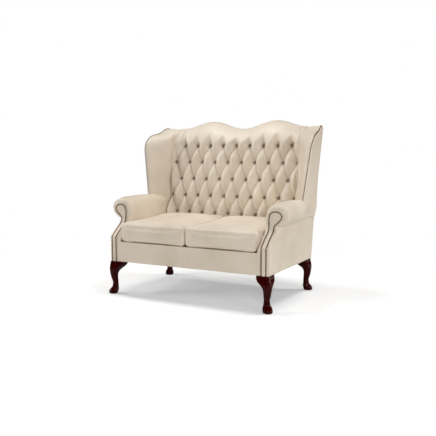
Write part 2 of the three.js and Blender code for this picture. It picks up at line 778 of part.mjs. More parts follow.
/** One row of covered buttons on their ties, which a tape joins behind the pad. */
function button_row(row) {
  const back = pad_core + fit_gap;
  const stems = pegs(row, button_seat, 0, back + tie_thickness);
  const z = row_z(2 * row);
  const dome_shares = [[0, -0.3], [1, -0.3], [1, 0], [0.62, 0.78], [0, 1]];
  const profile = dome_shares.map(([out, up]) => new THREE.Vector2(out * button_radius, up * button_rise));
  const domes = button_xs(row).map((x) => {
    const dome = new THREE.LatheGeometry(profile, 8);
    dome.rotateX(Math.PI - tuft_rake);
    return dome.translate(x, tuft_y(z), z);
  });
  const reach = Math.max(...button_xs(row));
  const tape = new THREE.BoxGeometry(2 * reach, tie_thickness, tie_width);
  tape.translate(0, back + tie_thickness / 2, 0);
  tape.rotateX(-tuft_rake);
  tape.translate(0, tuft_y(z), z);
  return joined(tape, ...stems, ...domes);
}

/** Hessian on webbing, behind the button ties. */
function back_hessian() {
  const depth = pad_core + tie_thickness + 2 * fit_gap;
  const low = border_top + fit_gap;
  const high = top_row_height;
  const section = (x) => [
    [x, behind_tufts(low, depth), low], [x, behind_tufts(low, depth + hessian_thickness), low],
    [x, behind_tufts(high, depth + hessian_thickness), high], [x, behind_tufts(high, depth), high],
  ];
  return loft([section(-pad_half), section(pad_half)]);
}

// Places across the outside back, from its left edge to its right edge
const across_shares = shares(24);

/** Height of the top edge of the outside back at a share across it. */
function back_edge_z(share) {
  const corner_z = wing_base + wing_height * between(wing_top_shares, 1);
  const corner_x = wing_x(back_y(corner_z), corner_z);
  const x = Math.abs(2 * share - 1) * corner_x;
  const hump = crest_z(x) - back_edge_drop;
  return hump + (corner_z - hump) * Math.max(0, (x - half_seat) / (corner_x - half_seat));
}

/** Outside back panel, with its top edge along the humps. */
function outside_back() {
  const edge = (offset) => (u, v) => {
    const z = leg_height + (back_edge_z(u) - leg_height) * v;
    const half = z < roll_base ? half_body : wing_x(back_y(z), z);
    return [(2 * u - 1) * half, back_y(z) - offset, z];
  };
  return sheet(across_shares, shares(4), edge(0), edge(cover_thickness));
}

/** Nail strip along the top edge of the outside back. */
function back_nail_trim() {
  const edge = across_shares.slice(1, -1).map((share) => {
    const z = back_edge_z(share);
    return [(2 * share - 1) * wing_x(back_y(z), z), back_y(z) - trim_width / 2, z];
  });
  return strip(
    edge.map((at, k) => {
      const [x0, , z0] = edge[Math.max(k - 1, 0)];
      const [x1, , z1] = edge[Math.min(k + 1, edge.length - 1)];
      return { at, out: [z0 - z1, 0, x1 - x0] };
    }),
  );
}

/** Front border below the cushions, with the seam at its middle. */
function front_border() {
  const end = half_seat + facing_foot_shares[0] * roll_width - fit_gap;
  const nose_shares = [[1, 0], [1, 1], [0.35, 1], [0.1, 0.975], [0, 0.93], [0, 0.03], [0.15, 0]];
  const stops = [-end, -seam_width / 2, 0, seam_width / 2, end];
  const inner = border_thickness;
  return loft(
    stops.map((x) =>
      nose_shares.map(([back, up]) => {
        const dent = x === 0 && back < 1 ? seam_depth : 0;
        return [x, back * inner + dent, leg_height + up * border_height];
      }),
    ),
    [1, 2],
  );
}

// Cushion plan and side: sizes are taken between the arms and from the front plane to the back pad
const cushion_low = border_top + fit_gap;
const cushion_inner = cushion_split / 2;
const cushion_outer = half_seat - cushion_side_gap;
const cushion_rear = tuft_y(cushion_low) - tuft_crown - cushion_side_gap / 2;
// Rings from the sewn lower edge over the boxed side to the crown: height, inset and bulge shares
const cushion_ring_shares = [
  [0, 0.06, 0], [0.04, 0.012, 0.2], [0.28, 0, 0.8], [0.6, 0, 1], [0.88, 0.012, 0.5], [1, 0.05, 0.2],
  [1.06, 0.14, 0], [1.11, 0.32, 0], [1.14, 0.56, 0], [1.15, 0.8, 0],
];

/** Loose seat cushion: crowned top, rounded corners, sides drawn in between them. */
function seat_cushion() {
  const half = [(cushion_outer - cushion_inner) / 2, cushion_rear / 2];
  const middle = [(cushion_outer + cushion_inner) / 2, cushion_rear / 2];
  const top_share = cushion_ring_shares[cushion_ring_shares.length - 1][0];
  const rise = (share) =>
    share <= 1 ? share * cushion_height : cushion_height + ((share - 1) / (top_share - 1)) * cushion_crown;
  const steps = 8;
  const rings = cushion_ring_shares.map(([up, inset, bulge]) => {
    const reach = half.map((value) => value * (1 - inset));
    const corner = Math.min(cushion_corner, ...reach);
    const drawn = cushion_draw * (1 - bulge);
    const ring = [];
    const side_points = (sx, sy, along_x) => {
      for (let k = 1; k < steps; k++) {
        const t = (k / steps) * 2 - 1;
        const pull = drawn * (1 - t * t);
        if (along_x) ring.push([-sy * t * (reach[0] - corner), sy * (reach[1] - pull)]);
        else ring.push([sx * (reach[0] - pull), sx * t * (reach[1] - corner)]);
      }
    };
    const corner_points = (sx, sy, start) => {
      for (let k = 0; k <= 3; k++) {
        const angle = start + (k / 3) * (Math.PI / 2);
        const cx = sx * (reach[0] - corner);
        const cy = sy * (reach[1] - corner);
        ring.push([cx + corner * Math.cos(angle), cy + corner * Math.sin(angle)]);
      }
    };
    side_points(1, 0, false);
    corner_points(1, 1, 0);
    side_points(0, 1, true);
    corner_points(-1, 1, Math.PI / 2);
    side_points(-1, 0, false);
    corner_points(-1, -1, Math.PI);
    side_points(0, -1, true);
    corner_points(1, -1, (3 * Math.PI) / 2);
    const height = rise(up);
    return ring.map(([x, y]) => {
      const depth_share = (y + half[1]) / (2 * half[1]);
      return [middle[0] + x, middle[1] + y + height * Math.tan(tuft_rake) * depth_share, cushion_low + height];
    });
  });
  return loft(rings);
}

/** Cabriole leg at a corner: squared top with ears, knee, ankle and pad foot turned outwards. */
function cabriole_leg(sx, sy, corner) {
  // Height, half width and outward shift in shares of the top width, and how square the section is
  const leg_shares = [
    [0, 0.3, 0.5, 0], [0.025, 0.341, 0.5, 0], [0.07, 0.362, 0.48, 0], [0.118, 0.358, 0.434, 0],
    [0.16, 0.31, 0.38, 0], [0.217, 0.25, 0.332, 0], [0.335, 0.211, 0.342, 0], [0.458, 0.249, 0.429, 0],
    [0.6, 0.291, 0.48, 0.08], [0.675, 0.333, 0.472, 0.15], [0.734, 0.383, 0.428, 0.25],
    [0.798, 0.47, 0.303, 0.45], [0.85, 0.525, 0.2, 0.6], [0.887, 0.545, 0.128, 0.7],
    [0.936, 0.54, 0.045, 0.85], [1, 0.5, 0, 1],
  ];
  const sides = 16;
  const base = [corner[0] - (sx * leg_top_width) / 2, corner[1] - (sy * leg_top_width) / 2];
  const rings = leg_shares.map(([up, half, shift, square]) => {
    const out = (shift * leg_top_width) / Math.SQRT2;
    return shares(sides).slice(0, -1).map((turn) => {
      const angle = 2 * Math.PI * turn;
      const [c, s] = [Math.cos(angle), Math.sin(angle)];
      const stretch = 1 + square * (1 / Math.max(Math.abs(c), Math.abs(s)) - 1);
      const reach = half * leg_top_width * stretch;
      return [base[0] + sx * out + reach * c, base[1] + sy * out + reach * s, up * (leg_height - fit_gap)];
    });
  });
  return loft(rings);
}

/** Serpentine seat spring across the rails, at x. */
function seat_spring(x, front, rear) {
  const waves = Math.max(2, Math.round((rear - front) / spring_pitch));
  const lead = (rear - front - waves * spring_pitch) / 2;
  const z = rail_top + fit_gap + spring_wire / 2;
  const points = [new THREE.Vector3(x, front, z)];
  for (let k = 0; k < waves; k++) {
    const side = k % 2 ? -1 : 1;
    const start = front + lead + k * spring_pitch;
    for (const turn of shares(spring_steps)) {
      const swing = (side * spring_swing * Math.sin(Math.PI * turn)) / 2;
      points.push(new THREE.Vector3(x + swing, start + turn * spring_pitch, z));
    }
    if (k < waves - 1) points.pop();
  }
  points.push(new THREE.Vector3(x, rear, z));
  const section = Math.SQRT1_2 * spring_wire;
  const rings = points.map((point, k) => {
    const next = points[Math.min(k + 1, points.length - 1)];
    const before = points[Math.max(k - 1, 0)];
    const along = next.clone().sub(before).normalize();
    const side = new THREE.Vector3(along.y, -along.x, 0);
    return [[-1, -1], [1, -1], [1, 1], [-1, 1]].map(([across, up]) => [
      point.x + (side.x * across * section) / 2,
      point.y + (side.y * across * section) / 2,
      z + (up * section) / 2,
    ]);
  });
  return loft(rings);
}

/** Corner block of the seat frame: a glued block across two rails, clear of its post. */
function corner_block(rail_y, post_y, side_x, post_x, towards) {
  const reach = towards * block_reach;
  const low = leg_height + (rail_height - block_height) / 2;
  const outline = [
    [side_x - block_reach, rail_y], [post_x, rail_y], [post_x, post_y], [side_x, post_y],
    [side_x, post_y + reach],
  ];
  return loft([low, low + block_height].map((z) => outline.map(([x, y]) => [x, y, z])), [0, 1]);
}

// Seat frame
const frame_group = assembly();
const front_rail_y = border_thickness + fit_gap;
const front_rail_back = front_rail_y + rail_thickness;
const front_rail_end = front_post_inner - fit_gap;
const rear_rail_back = inner_back_y(leg_height) - fit_gap;
const rear_rail_y = rear_rail_back - rail_thickness;
const rear_post_front = rear_rail_back - post_depth;
const front_post_back = facing_thickness + fit_gap + front_post_depth;
const side_rail_outer = panel_inner - fit_gap;
const side_rail_inner = side_rail_outer - rail_thickness;
const rear_rail_end = post_inner - fit_gap;

add(frame_group, "front_rail", block(
  [-front_rail_end, front_rail_y, leg_height], [front_rail_end, front_rail_back, rail_top],
), beech());
add(frame_group, "back_rail", block(
  [-rear_rail_end, rear_rail_y, leg_height], [rear_rail_end, rear_rail_back, rail_top],
), beech());
add(frame_group, "centre_seat_brace", block(
  [-brace_width / 2, front_rail_back + fit_gap, leg_height],
  [brace_width / 2, rear_rail_y - fit_gap, leg_height + block_height],
), beech());
add_pair(frame_group, "side_rail", block(
  [side_rail_inner, front_post_back + fit_gap, leg_height],
  [side_rail_outer, rear_post_front - fit_gap, rail_top],
), beech);
add_pair(frame_group, "front_corner_block", corner_block(
  front_rail_back + fit_gap, front_post_back + fit_gap,
  side_rail_inner - fit_gap, front_post_inner - fit_gap, 1,
), beech);
add_pair(frame_group, "rear_corner_block", corner_block(
  rear_rail_y - fit_gap, rear_post_front - fit_gap,
  side_rail_inner - fit_gap, post_inner - fit_gap, -1,
), beech);
add_pair(frame_group, "front_post", front_post(), beech);
add_pair(frame_group, "back_post", back_post(), beech);
add_pair(frame_group, "arm_rail", arm_core(fit_gap, 0), beech);
add_pair(frame_group, "wing_frame", wing_frame(), beech);
add(frame_group, "top_back_rail", top_back_rail(), beech());

const lower_rail_z = border_top + 2 * fit_gap;
add(frame_group, "lower_back_rail", loft([-1, 1].map((side) => {
  const x = side * rear_rail_end;
  const [low, high] = [lower_rail_z, lower_rail_z + lower_rail_height];
  const y = (z) => inner_back_y(z) - fit_gap;
  return [
    [x, y(low) - rail_thickness, low], [x, y(low), low],
    [x, y(high), high], [x, y(high) - rail_thickness, high],
  ];
})), beech());

const centre_post_low = lower_rail_z + lower_rail_height + fit_gap;
const centre_post_high = crest_z(0) - top_rail_drop - top_rail_height - fit_gap;
add(frame_group, "centre_back_post", loft([centre_post_low, centre_post_high].map((z) => {
  const rear = inner_back_y(z) - fit_gap;
  const half = brace_width / 2;
  const front = rear - rail_thickness;
  return [[-half, front, z], [half, front, z], [half, rear, z], [-half, rear, z]];
})), beech());

// Seat platform
const seat_group = assembly();
const spring_front = front_rail_y + spring_wire;
const spring_rear = rear_rail_back - spring_wire;
for (let k = 0; k < spring_count; k++) {
  const x = ((2 * (k + 0.5)) / spring_count - 1) * (front_rail_end - spring_swing / 2);
  add(seat_group, `seat_spring_${k + 1}`, seat_spring(x, spring_front, spring_rear), spring_steel());
}
const deck_low = border_top - deck_thickness;
add(seat_group, "seat_deck", block(
  [-inside_arm + fit_gap, front_rail_y, deck_low], [inside_arm - fit_gap, rear_rail_y, border_top],
), felt());
add(seat_group, "front_border", front_border(), leather());

const dust_low = leg_height - fit_gap - dust_cover_thickness;
const dust_reach = [side_rail_outer, rear_rail_back];
const notch_x = half_body - leg_top_width * 1.06;
const notch_front = leg_top_width * 1.06;
const notch_rear = base_depth - leg_top_width * 1.06;
const dust_outline = [
  [notch_x, front_rail_y], [notch_x, notch_front], [dust_reach[0], notch_front],
  [dust_reach[0], notch_rear], [notch_x, notch_rear], [notch_x, dust_reach[1]],
];
const dust_ring = [...dust_outline, ...[...dust_outline].reverse().map(([x, y]) => [-x, y])];
add(seat_group, "dust_cover", loft(
  [dust_low, dust_low + dust_cover_thickness].map((z) => dust_ring.map(([x, y]) => [x, y, z])), [0, 1],
), black_cloth());

// Seat cushions
const cushion_group = assembly();
add_pair(cushion_group, "seat_cushion", seat_cushion(), leather);

// Back
const back_group = assembly();
add(back_group, "back_pad", back_pad(), leather());
add(back_group, "back_hessian", back_hessian(), hessian());
for (let row = 0; row < row_count; row++) {
  add(back_group, `button_row_${row + 1}`, button_row(row), leather());
}
add(back_group, "outside_back", outside_back(), leather());
add(back_group, "back_nail_trim", back_nail_trim(), antique_brass());

// Arms and wings
const side_group = assembly();
add_pair(side_group, "arm_pad", arm_pad(), leather);
add_pair(side_group, "arm_facing", arm_facing(), leather);
add_pair(side_group, "arm_nail_trim", arm_nail_trim(), antique_brass);
add_pair(side_group, "outside_arm", outside_arm(), leather);
add_pair(side_group, "wing_pad", wing_pad(), leather);
add_pair(side_group, "outside_wing", outside_wing(), leather);
add_pair(side_group, "wing_nail_trim", wing_nail_trim(), antique_brass);

// Legs
const leg_group = assembly();
for (const [side, sx] of [["left", -1], ["right", 1]]) {
  const front = cabriole_leg(sx, -1, [sx * half_body, 0]);
  const rear = cabriole_leg(sx, 1, [sx * half_body, base_depth]);
  add(leg_group, `front_leg_${side}`, front, mahogany());
  add(leg_group, `rear_leg_${side}`, rear, mahogany());
}

// Origin: on the floor, under the middle of the settee
const reach = new THREE.Box3().setFromObject(settee);
settee.position.set(0, -(reach.min.y + reach.max.y) / 2, -reach.min.z);

const group = new THREE.Group();
group.add(settee);

export default group;
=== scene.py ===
"""High back settee in cream leather: buttoned back, wings, scroll arms, loose cushions, cabriole legs."""

import logging
import math
from bisect import bisect_right
from dataclasses import dataclass
from enum import Enum
from typing import Callable, Optional, Sequence

import bmesh
import bpy
from mathutils import Euler, Matrix, Vector, noise


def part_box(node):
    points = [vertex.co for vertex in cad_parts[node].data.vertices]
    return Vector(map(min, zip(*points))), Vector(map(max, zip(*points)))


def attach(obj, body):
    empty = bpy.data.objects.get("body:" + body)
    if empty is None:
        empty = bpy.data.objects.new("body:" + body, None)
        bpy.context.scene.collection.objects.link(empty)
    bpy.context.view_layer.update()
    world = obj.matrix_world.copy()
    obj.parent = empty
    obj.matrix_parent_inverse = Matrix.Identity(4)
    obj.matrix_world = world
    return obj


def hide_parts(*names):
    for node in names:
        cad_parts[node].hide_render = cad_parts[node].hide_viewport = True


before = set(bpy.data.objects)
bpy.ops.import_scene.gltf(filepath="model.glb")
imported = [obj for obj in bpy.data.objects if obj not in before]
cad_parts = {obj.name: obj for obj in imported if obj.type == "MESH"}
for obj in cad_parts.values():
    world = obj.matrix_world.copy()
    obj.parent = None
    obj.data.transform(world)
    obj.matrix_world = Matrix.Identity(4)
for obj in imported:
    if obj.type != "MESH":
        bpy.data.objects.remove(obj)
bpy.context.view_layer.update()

MM = 0.001
LOG = logging.getLogger("settee")

Place = Callable[[float, float], Vector]
Socket = bpy.types.NodeSocket


class Side(Enum):
    """The two sides of the settee, as someone facing it names them."""

    RIGHT = "right"
    LEFT = "left"


class Curve:
    """Smooth line through rows of [place, value, ...] that never swings past its points."""

    def __init__(self, rows: Sequence[Sequence[float]]) -> None:
        """Keeps the rows and works out a slope at each.

        Args:
            rows: places in rising order, each with one or more values.
        """
        self.places = [row[0] for row in rows]
        self.values = [list(row[1:]) for row in rows]
        self.slopes = [[self._slope(k, axis) for axis in range(len(rows[0]) - 1)] for k in range(len(rows))]

    def _slope(self, k: int, axis: int) -> float:
        """Slope at a row.

        Args:
            k: number of the row.
            axis: number of the value.

        Returns:
            The harmonic mean of the slopes on its two sides, or 0 at a turn.
        """
        if k in (0, len(self.places) - 1):
            a, b = (0, 1) if k == 0 else (k - 1, k)
            return (self.values[b][axis] - self.values[a][axis]) / (self.places[b] - self.places[a])
        before = (self.values[k][axis] - self.values[k - 1][axis]) / (self.places[k] - self.places[k - 1])
        after = (self.values[k + 1][axis] - self.values[k][axis]) / (self.places[k + 1] - self.places[k])
        return 0.0 if before * after <= 0 else 2 * before * after / (before + after)

    def row(self, place: float) -> list[float]:
        """Every value at a place.

        Args:
            place: where on the line, held within its ends.

        Returns:
            The values there.
        """
        place = min(max(place, self.places[0]), self.places[-1])
        k = min(max(bisect_right(self.places, place) - 1, 0), len(self.places) - 2)
        span = self.places[k + 1] - self.places[k]
        t = (place - self.places[k]) / span
        low, high = (1 + 2 * t) * (1 - t) ** 2, t * t * (3 - 2 * t)
        rise, fall = t * (1 - t) ** 2 * span, t * t * (t - 1) * span
        ends = zip(self.values[k], self.values[k + 1], self.slopes[k], self.slopes[k + 1])
        return [low * a + high * b + rise * p + fall * q for a, b, p, q in ends]

    def at(self, place: float) -> float:
        """First value at a place."""
        return self.row(place)[0]


def eased(share: float) -> float:
    """Share from 0 to 1 that starts and stops gently."""
    share = min(max(share, 0.0), 1.0)
    return share * share * (3 - 2 * share)


def rounded(distance: float, radius: float, power: float = 2.0) -> float:
    """Share of full height inside a rounded edge.

    Args:
        distance: how far inside the edge.
        radius: width of the rounding.
        power: 2 for a round edge, more for a squarer one.

    Returns:
        0 on the edge and 1 past the radius.
    """
    if distance >= radius:
        return 1.0
    return (1 - (1 - max(distance, 0.0) / radius) ** power) ** (1 / power)


@dataclass(frozen=True)
class Plan:
    """Levels and planes of the settee, in metres, in the shared frame.

    The heights and widths come from the frame; the depths and rakes are those of the timber frame.
    """

    front: float
    leg_top: float
    border_top: float
    roll_base: float
    wing_base: float
    crest: float
    half_body: float
    half_seat: float
    half_wings: float = 594 * MM
    base_depth: float = 667 * MM
    back_thickness: float = 147 * MM
    wing_reach: float = 218 * MM
    wing_top_drop: float = 41.7 * MM
    back_rake: float = math.radians(8.6)
    tuft_rake: float = math.radians(15.6)
    wing_lean: float = math.radians(3.6)
    seam_lean: float = math.radians(6)
    seam_reach: float = 125 * MM
    corner_setback: float = 12 * MM
    corner_lean: float = 0.031
    # How much wider the inside is between the wings than between the arms, on each side
    wing_widening: float = 10 * MM
    hump_spacing: float = 470 * MM
    centre_dip: float = 52 * MM
    end_dip: float = 44 * MM
    # Height, and how far the rear corner stands out beyond the timber there
    fullness_rows: tuple = (
        (0.2, 0.0045), (0.44, 0.005), (0.49, 0.0075), (0.55, 0.009), (0.585, 0.0075), (0.62, 0.005),
        (0.7, 0.0015), (0.9, 0.0),
    )
    # How much the sides spread for each metre of height, at the wing's front edge and at the rear corner
    wing_flare_share: float = 0.125
    rear_flare_share: float = 0.043
    # Share of the wing's height at which it is widest
    widest_share: float = 0.843

    @classmethod
    def from_frame(cls) -> "Plan":
        """Plan of the settee that is in the frame."""
        border_low, border_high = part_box("front_border")
        return cls(
            front=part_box("seat_cushion_right")[0].y,
            leg_top=border_low.z,
            border_top=border_high.z,
            roll_base=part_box("outside_wing_right")[0].z,
            wing_base=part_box("wing_pad_right")[0].z,
            crest=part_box("back_pad")[1].z,
            half_body=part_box("outside_arm_right")[1].x,
            half_seat=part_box("arm_pad_right")[0].x,
        )

    @property
    def wing_height(self) -> float:
        """Height of the wing above its base, where it is highest."""
        return self.crest - self.wing_top_drop - self.wing_base

    def back_y(self, z: float) -> float:
        """Outside back at a height."""
        return self.front + self.base_depth + (z - self.leg_top) * math.tan(self.back_rake)

    def tuft_y(self, z: float) -> float:
        """Plane of the buttons at a height."""
        base = self.front + self.base_depth - self.back_thickness
        return base + (z - self.border_top) * math.tan(self.tuft_rake)

    def crest_z(self, x: float) -> float:
        """Top of the back, with its two humps and a dip between them and at each end.

        Args:
            x: place across the back.

        Returns:
            The height there.
        """
        off = min(abs(x), self.half_seat) - self.hump_spacing / 2
        inside = off < 0
        span = self.hump_spacing / 2 if inside else self.half_seat - self.hump_spacing / 2
        dip = self.centre_dip if inside else self.end_dip
        return self.crest - dip * (1 - math.cos(math.pi * off / span)) / 2

    def wing_front_y(self, z: float) -> float:
        """Front edge of the wing at a height."""
        base = self.front + self.base_depth - self.wing_reach
        return base + (z - self.wing_base) * math.tan(self.wing_lean)

    def seam_y(self, z: float) -> float:
        """Seam of the wing with the back at a height."""
        base = self.front + self.base_depth - self.wing_reach + self.seam_reach
        return base + (z - self.wing_base) * math.tan(self.seam_lean)

    def corner_y(self, z: float) -> float:
        """Inside corner where the back meets an arm or a wing, at a height."""
        up = max(z - self.wing_base, 0.0)
        return self.seam_y(self.wing_base + up) + self.corner_setback + up * self.corner_lean

    def inside_x(self, z: float) -> float:
        """Right side of the space that the back pad fills, at a height."""
        return self.half_seat + self.wing_widening * eased((z - self.wing_base) / (120 * MM))

    def rear_x(self, z: float) -> float:
        """Outside face of the right side at the rear corner."""
        lean = max(0.0, z - self.roll_base) * self.rear_flare_share
        return self.half_body + lean + Curve(self.fullness_rows).at(z)

    def wing_x(self, y: float, z: float) -> float:
        """Outside face of the right wing.

        Args:
            y: place along the wing.
            z: height.

        Returns:
            The distance from the middle of the settee.
        """
        widest = self.wing_base + self.wing_height * self.widest_share
        front = self.half_wings - (widest - z) * self.wing_flare_share
        rear = self.rear_x(z)
        share = (self.back_y(z) - y) / (self.back_y(z) - self.wing_front_y(z))
        return rear + (front - rear) * share


PLAN = Plan.from_frame()


def wobble(point: Vector, reach: float, size: float) -> float:
    """Soft unevenness of stuffed leather.

    Args:
        point: place on the piece.
        reach: the most that it moves the surface.
        size: distance between its rises.

    Returns:
        The lift at the place.
    """
    return reach * noise.noise(point / size)


def deselect() -> None:
    """Leaves object mode with nothing selected."""
    if bpy.context.object and bpy.context.object.mode != "OBJECT":
        bpy.ops.object.mode_set(mode="OBJECT")
    bpy.ops.object.select_all(action="DESELECT")


def pick(piece: bpy.types.Object) -> None:
    """Makes a piece the only selected one."""
    deselect()
    piece.select_set(True)
    bpy.context.view_layer.objects.active = piece


def sheet(name: str, columns: int, rows: int, place: Place) -> bpy.types.Object:
    """Grid of faces drawn over a surface.

    Args:
        name: name of the piece.
        columns: faces along u.
        rows: faces along v.
        place: point of the surface at shares u and v.

    Returns:
        The open sheet.
    """
    deselect()
    bpy.ops.mesh.primitive_grid_add(x_subdivisions=columns, y_subdivisions=rows, size=1.0)
    piece = bpy.context.object
    piece.name = piece.data.name = name
    for point in piece.data.vertices:
        point.co = place(point.co.x + 0.5, point.co.y + 0.5)
    return piece


def outward(piece: bpy.types.Object, hint: Vector) -> None:
    """Turns the faces of a sheet.

    Args:
        piece: the sheet.
        hint: roughly the way that they are to look.
    """
    total = Vector()
    for face in piece.data.polygons:
        total += face.normal * face.area
    if total.dot(hint) < 0:
        piece.data.flip_normals()


def smooth(piece: bpy.types.Object, angle: float = 60.0) -> None:
    """Shades a piece smooth, save at edges sharper than the angle in degrees."""
    pick(piece)
    bpy.ops.object.shade_smooth_by_angle(angle=math.radians(angle))


def cover(
    name: str, columns: int, rows: int, place: Place, out: Vector, thickness: float = 3 * MM
) -> bpy.types.Object:
    """Leather over a surface, with its thickness on the inner side.

    Args:
        name: name of the piece.
        columns: faces along u.
        rows: faces along v.
        place: point of the surface at shares u and v.
        out: roughly the way that the leather faces.
        thickness: thickness of the leather.

    Returns:
        The piece, closed and shaded smooth.
    """
    piece = sheet(name, columns, rows, place)
    outward(piece, out)
    pick(piece)
    solidify = piece.modifiers.new("Thickness", "SOLIDIFY")
    solidify.thickness = thickness
    solidify.offset = -1.0
    bpy.ops.object.modifier_apply(modifier=solidify.name)
    smooth(piece)
    return piece


def repeat(model: bpy.types.Object, places: Sequence[Matrix], name: str) -> None:
    """Turns a model into many copies of itself in one mesh.

    Args:
        model: the model, at the origin.
        places: the place of each copy.
        name: name of the piece.
    """
    shell = bmesh.new()
    for place in places:
        start = len(shell.verts)
        shell.from_mesh(model.data)
        shell.verts.ensure_lookup_table()
        bmesh.ops.transform(shell, matrix=place, verts=shell.verts[start:])
    shell.to_mesh(model.data)
    shell.free()
    model.name = model.data.name = name


def mirror_copy(piece: bpy.types.Object, name: str) -> bpy.types.Object:
    """Mirror image of a piece, on the other side of the settee.

    Args:
        piece: the piece to copy.
        name: name of the copy.

    Returns:
        The copy, with its own mesh.
    """
    pick(piece)
    bpy.ops.object.duplicate()
    copy = bpy.context.object
    copy.name = copy.data.name = name
    copy.data.transform(Matrix.Scale(-1, 4, (1, 0, 0)))
    copy.data.flip_normals()
    return copy


def loops(name: str, around: int, rings: int, place: Place) -> bpy.types.Object:
    """Closed body through rings, with a pole at each end.

    Args:
        name: name of the piece.
        around: faces round each ring.
        rings: faces from the first ring to the last.
        place: point at a share round the ring and a share from the first ring to the last.

    Returns:
        The closed piece, its faces outwards.
    """
    piece = sheet(name, around, rings, place)
    pick(piece)
    bpy.ops.object.mode_set(mode="EDIT")
    bpy.ops.mesh.select_all(action="SELECT")
    bpy.ops.mesh.remove_doubles(threshold=0.01 * MM)
    bpy.ops.mesh.select_all(action="DESELECT")
    bpy.ops.mesh.select_non_manifold()
    bpy.ops.mesh.fill_holes(sides=0)
    bpy.ops.mesh.select_all(action="SELECT")
    bpy.ops.mesh.normals_make_consistent(inside=False)
    bpy.ops.object.mode_set(mode="OBJECT")
    return piece


def hex_to_linear(code: str) -> tuple[float, float, float, float]:
    """Linear colour of an sRGB hex code."""
    channels = [int(code[k : k + 2], 16) / 255 for k in (1, 3, 5)]
    linear = [c / 12.92 if c <= 0.04045 else ((c + 0.055) / 1.055) ** 2.4 for c in channels]
    return (*linear, 1.0)


def add_node(
    tree: bpy.types.NodeTree, kind: str, inputs: Optional[dict] = None, **settings: object
) -> bpy.types.Node:
    """Adds a shader node.

    Args:
        tree: the material's or the world's nodes.
        kind: the node's type name, after ShaderNode.
        inputs: a value, or a socket to link, for each input by name or number.
        settings: the node's own properties.

    Returns:
        The node.
    """
    node = tree.nodes.new("ShaderNode" + kind)
    for name, value in settings.items():
        setattr(node, name, value)
    for key, value in (inputs or {}).items():
        if isinstance(value, Socket):
            tree.links.new(value, node.inputs[key])
        else:
            node.inputs[key].default_value = value
    return node


class Recipe:
    """Nodes of one material, from the object's own coordinates to the surface."""

    def __init__(self, name: str) -> None:
        """Starts an empty material of that name."""
        self.material = bpy.data.materials.new(name)
        self.material.use_nodes = True
        self.tree = self.material.node_tree
        self.tree.nodes.clear()
        self.coords = add_node(self.tree, "TexCoord").outputs["Object"]

    def stretched(self, scale: tuple[float, float, float]) -> Socket:
        """The coordinates with each axis scaled; a small scale draws a pattern out along it."""
        return add_node(self.tree, "Mapping", {"Vector": self.coords, "Scale": scale}).outputs["Vector"]

    def noise(
        self, size: float, detail: float, distortion: float = 0.0, coords: Optional[Socket] = None
    ) -> Socket:
        """Soft cloudy pattern.

        Args:
            size: distance between its patches.
            detail: how many finer layers it has.
            distortion: how much it swirls.
            coords: other coordinates than the object's own.

        Returns:
            The pattern, from 0 to 1.
        """
        inputs = {
            "Vector": coords or self.coords, "Scale": 1 / size, "Detail": detail, "Distortion": distortion,
        }
        return add_node(self.tree, "TexNoise", inputs).outputs["Fac"]

    def tones(
        self, share: Socket, first: tuple[float, str], last: tuple[float, str]
    ) -> Socket:
        """Colour that runs from one tone to another.

        Args:
            share: the pattern that it follows.
            first: value of the pattern up to which it has the first tone, and that tone.
            last: value from which it has the last tone, and that tone.

        Returns:
            The colour.
        """
        ramp = add_node(self.tree, "ValToRGB", {"Fac": share})
        for element, (place, tone) in zip(ramp.color_ramp.elements, (first, last)):
            element.position = place
            element.color = hex_to_linear(tone)
        return ramp.outputs["Color"]

    def ranged(self, value: Socket, low: float, high: float) -> Socket:
        """A pattern from 0 to 1, spread from a low value to a high one."""
        inputs = {"Value": value, "To Min": low, "To Max": high}
        return add_node(self.tree, "MapRange", inputs).outputs["Result"]

    def bump(
        self,
        height: Socket,
        strength: float,
        distance: float,
        under: Optional[Socket] = None,
    ) -> Socket:
        """Relief that the light shows.

        Args:
            height: the pattern that stands up.
            strength: how strongly it shows.
            distance: how high it stands.
            under: the relief that it lies on, if any.

        Returns:
            The surface's direction.
        """
        inputs = {"Height": height, "Strength": strength, "Distance": distance}
        if under:
            inputs["Normal"] = under
        return add_node(self.tree, "Bump", inputs).outputs["Normal"]

    def finish(self, inputs: dict) -> bpy.types.Material:
        """Gives the material its surface, and hands it over."""
        shader = add_node(self.tree, "BsdfPrincipled", inputs)
        add_node(self.tree, "OutputMaterial", {"Surface": shader.outputs["BSDF"]})
        return self.material


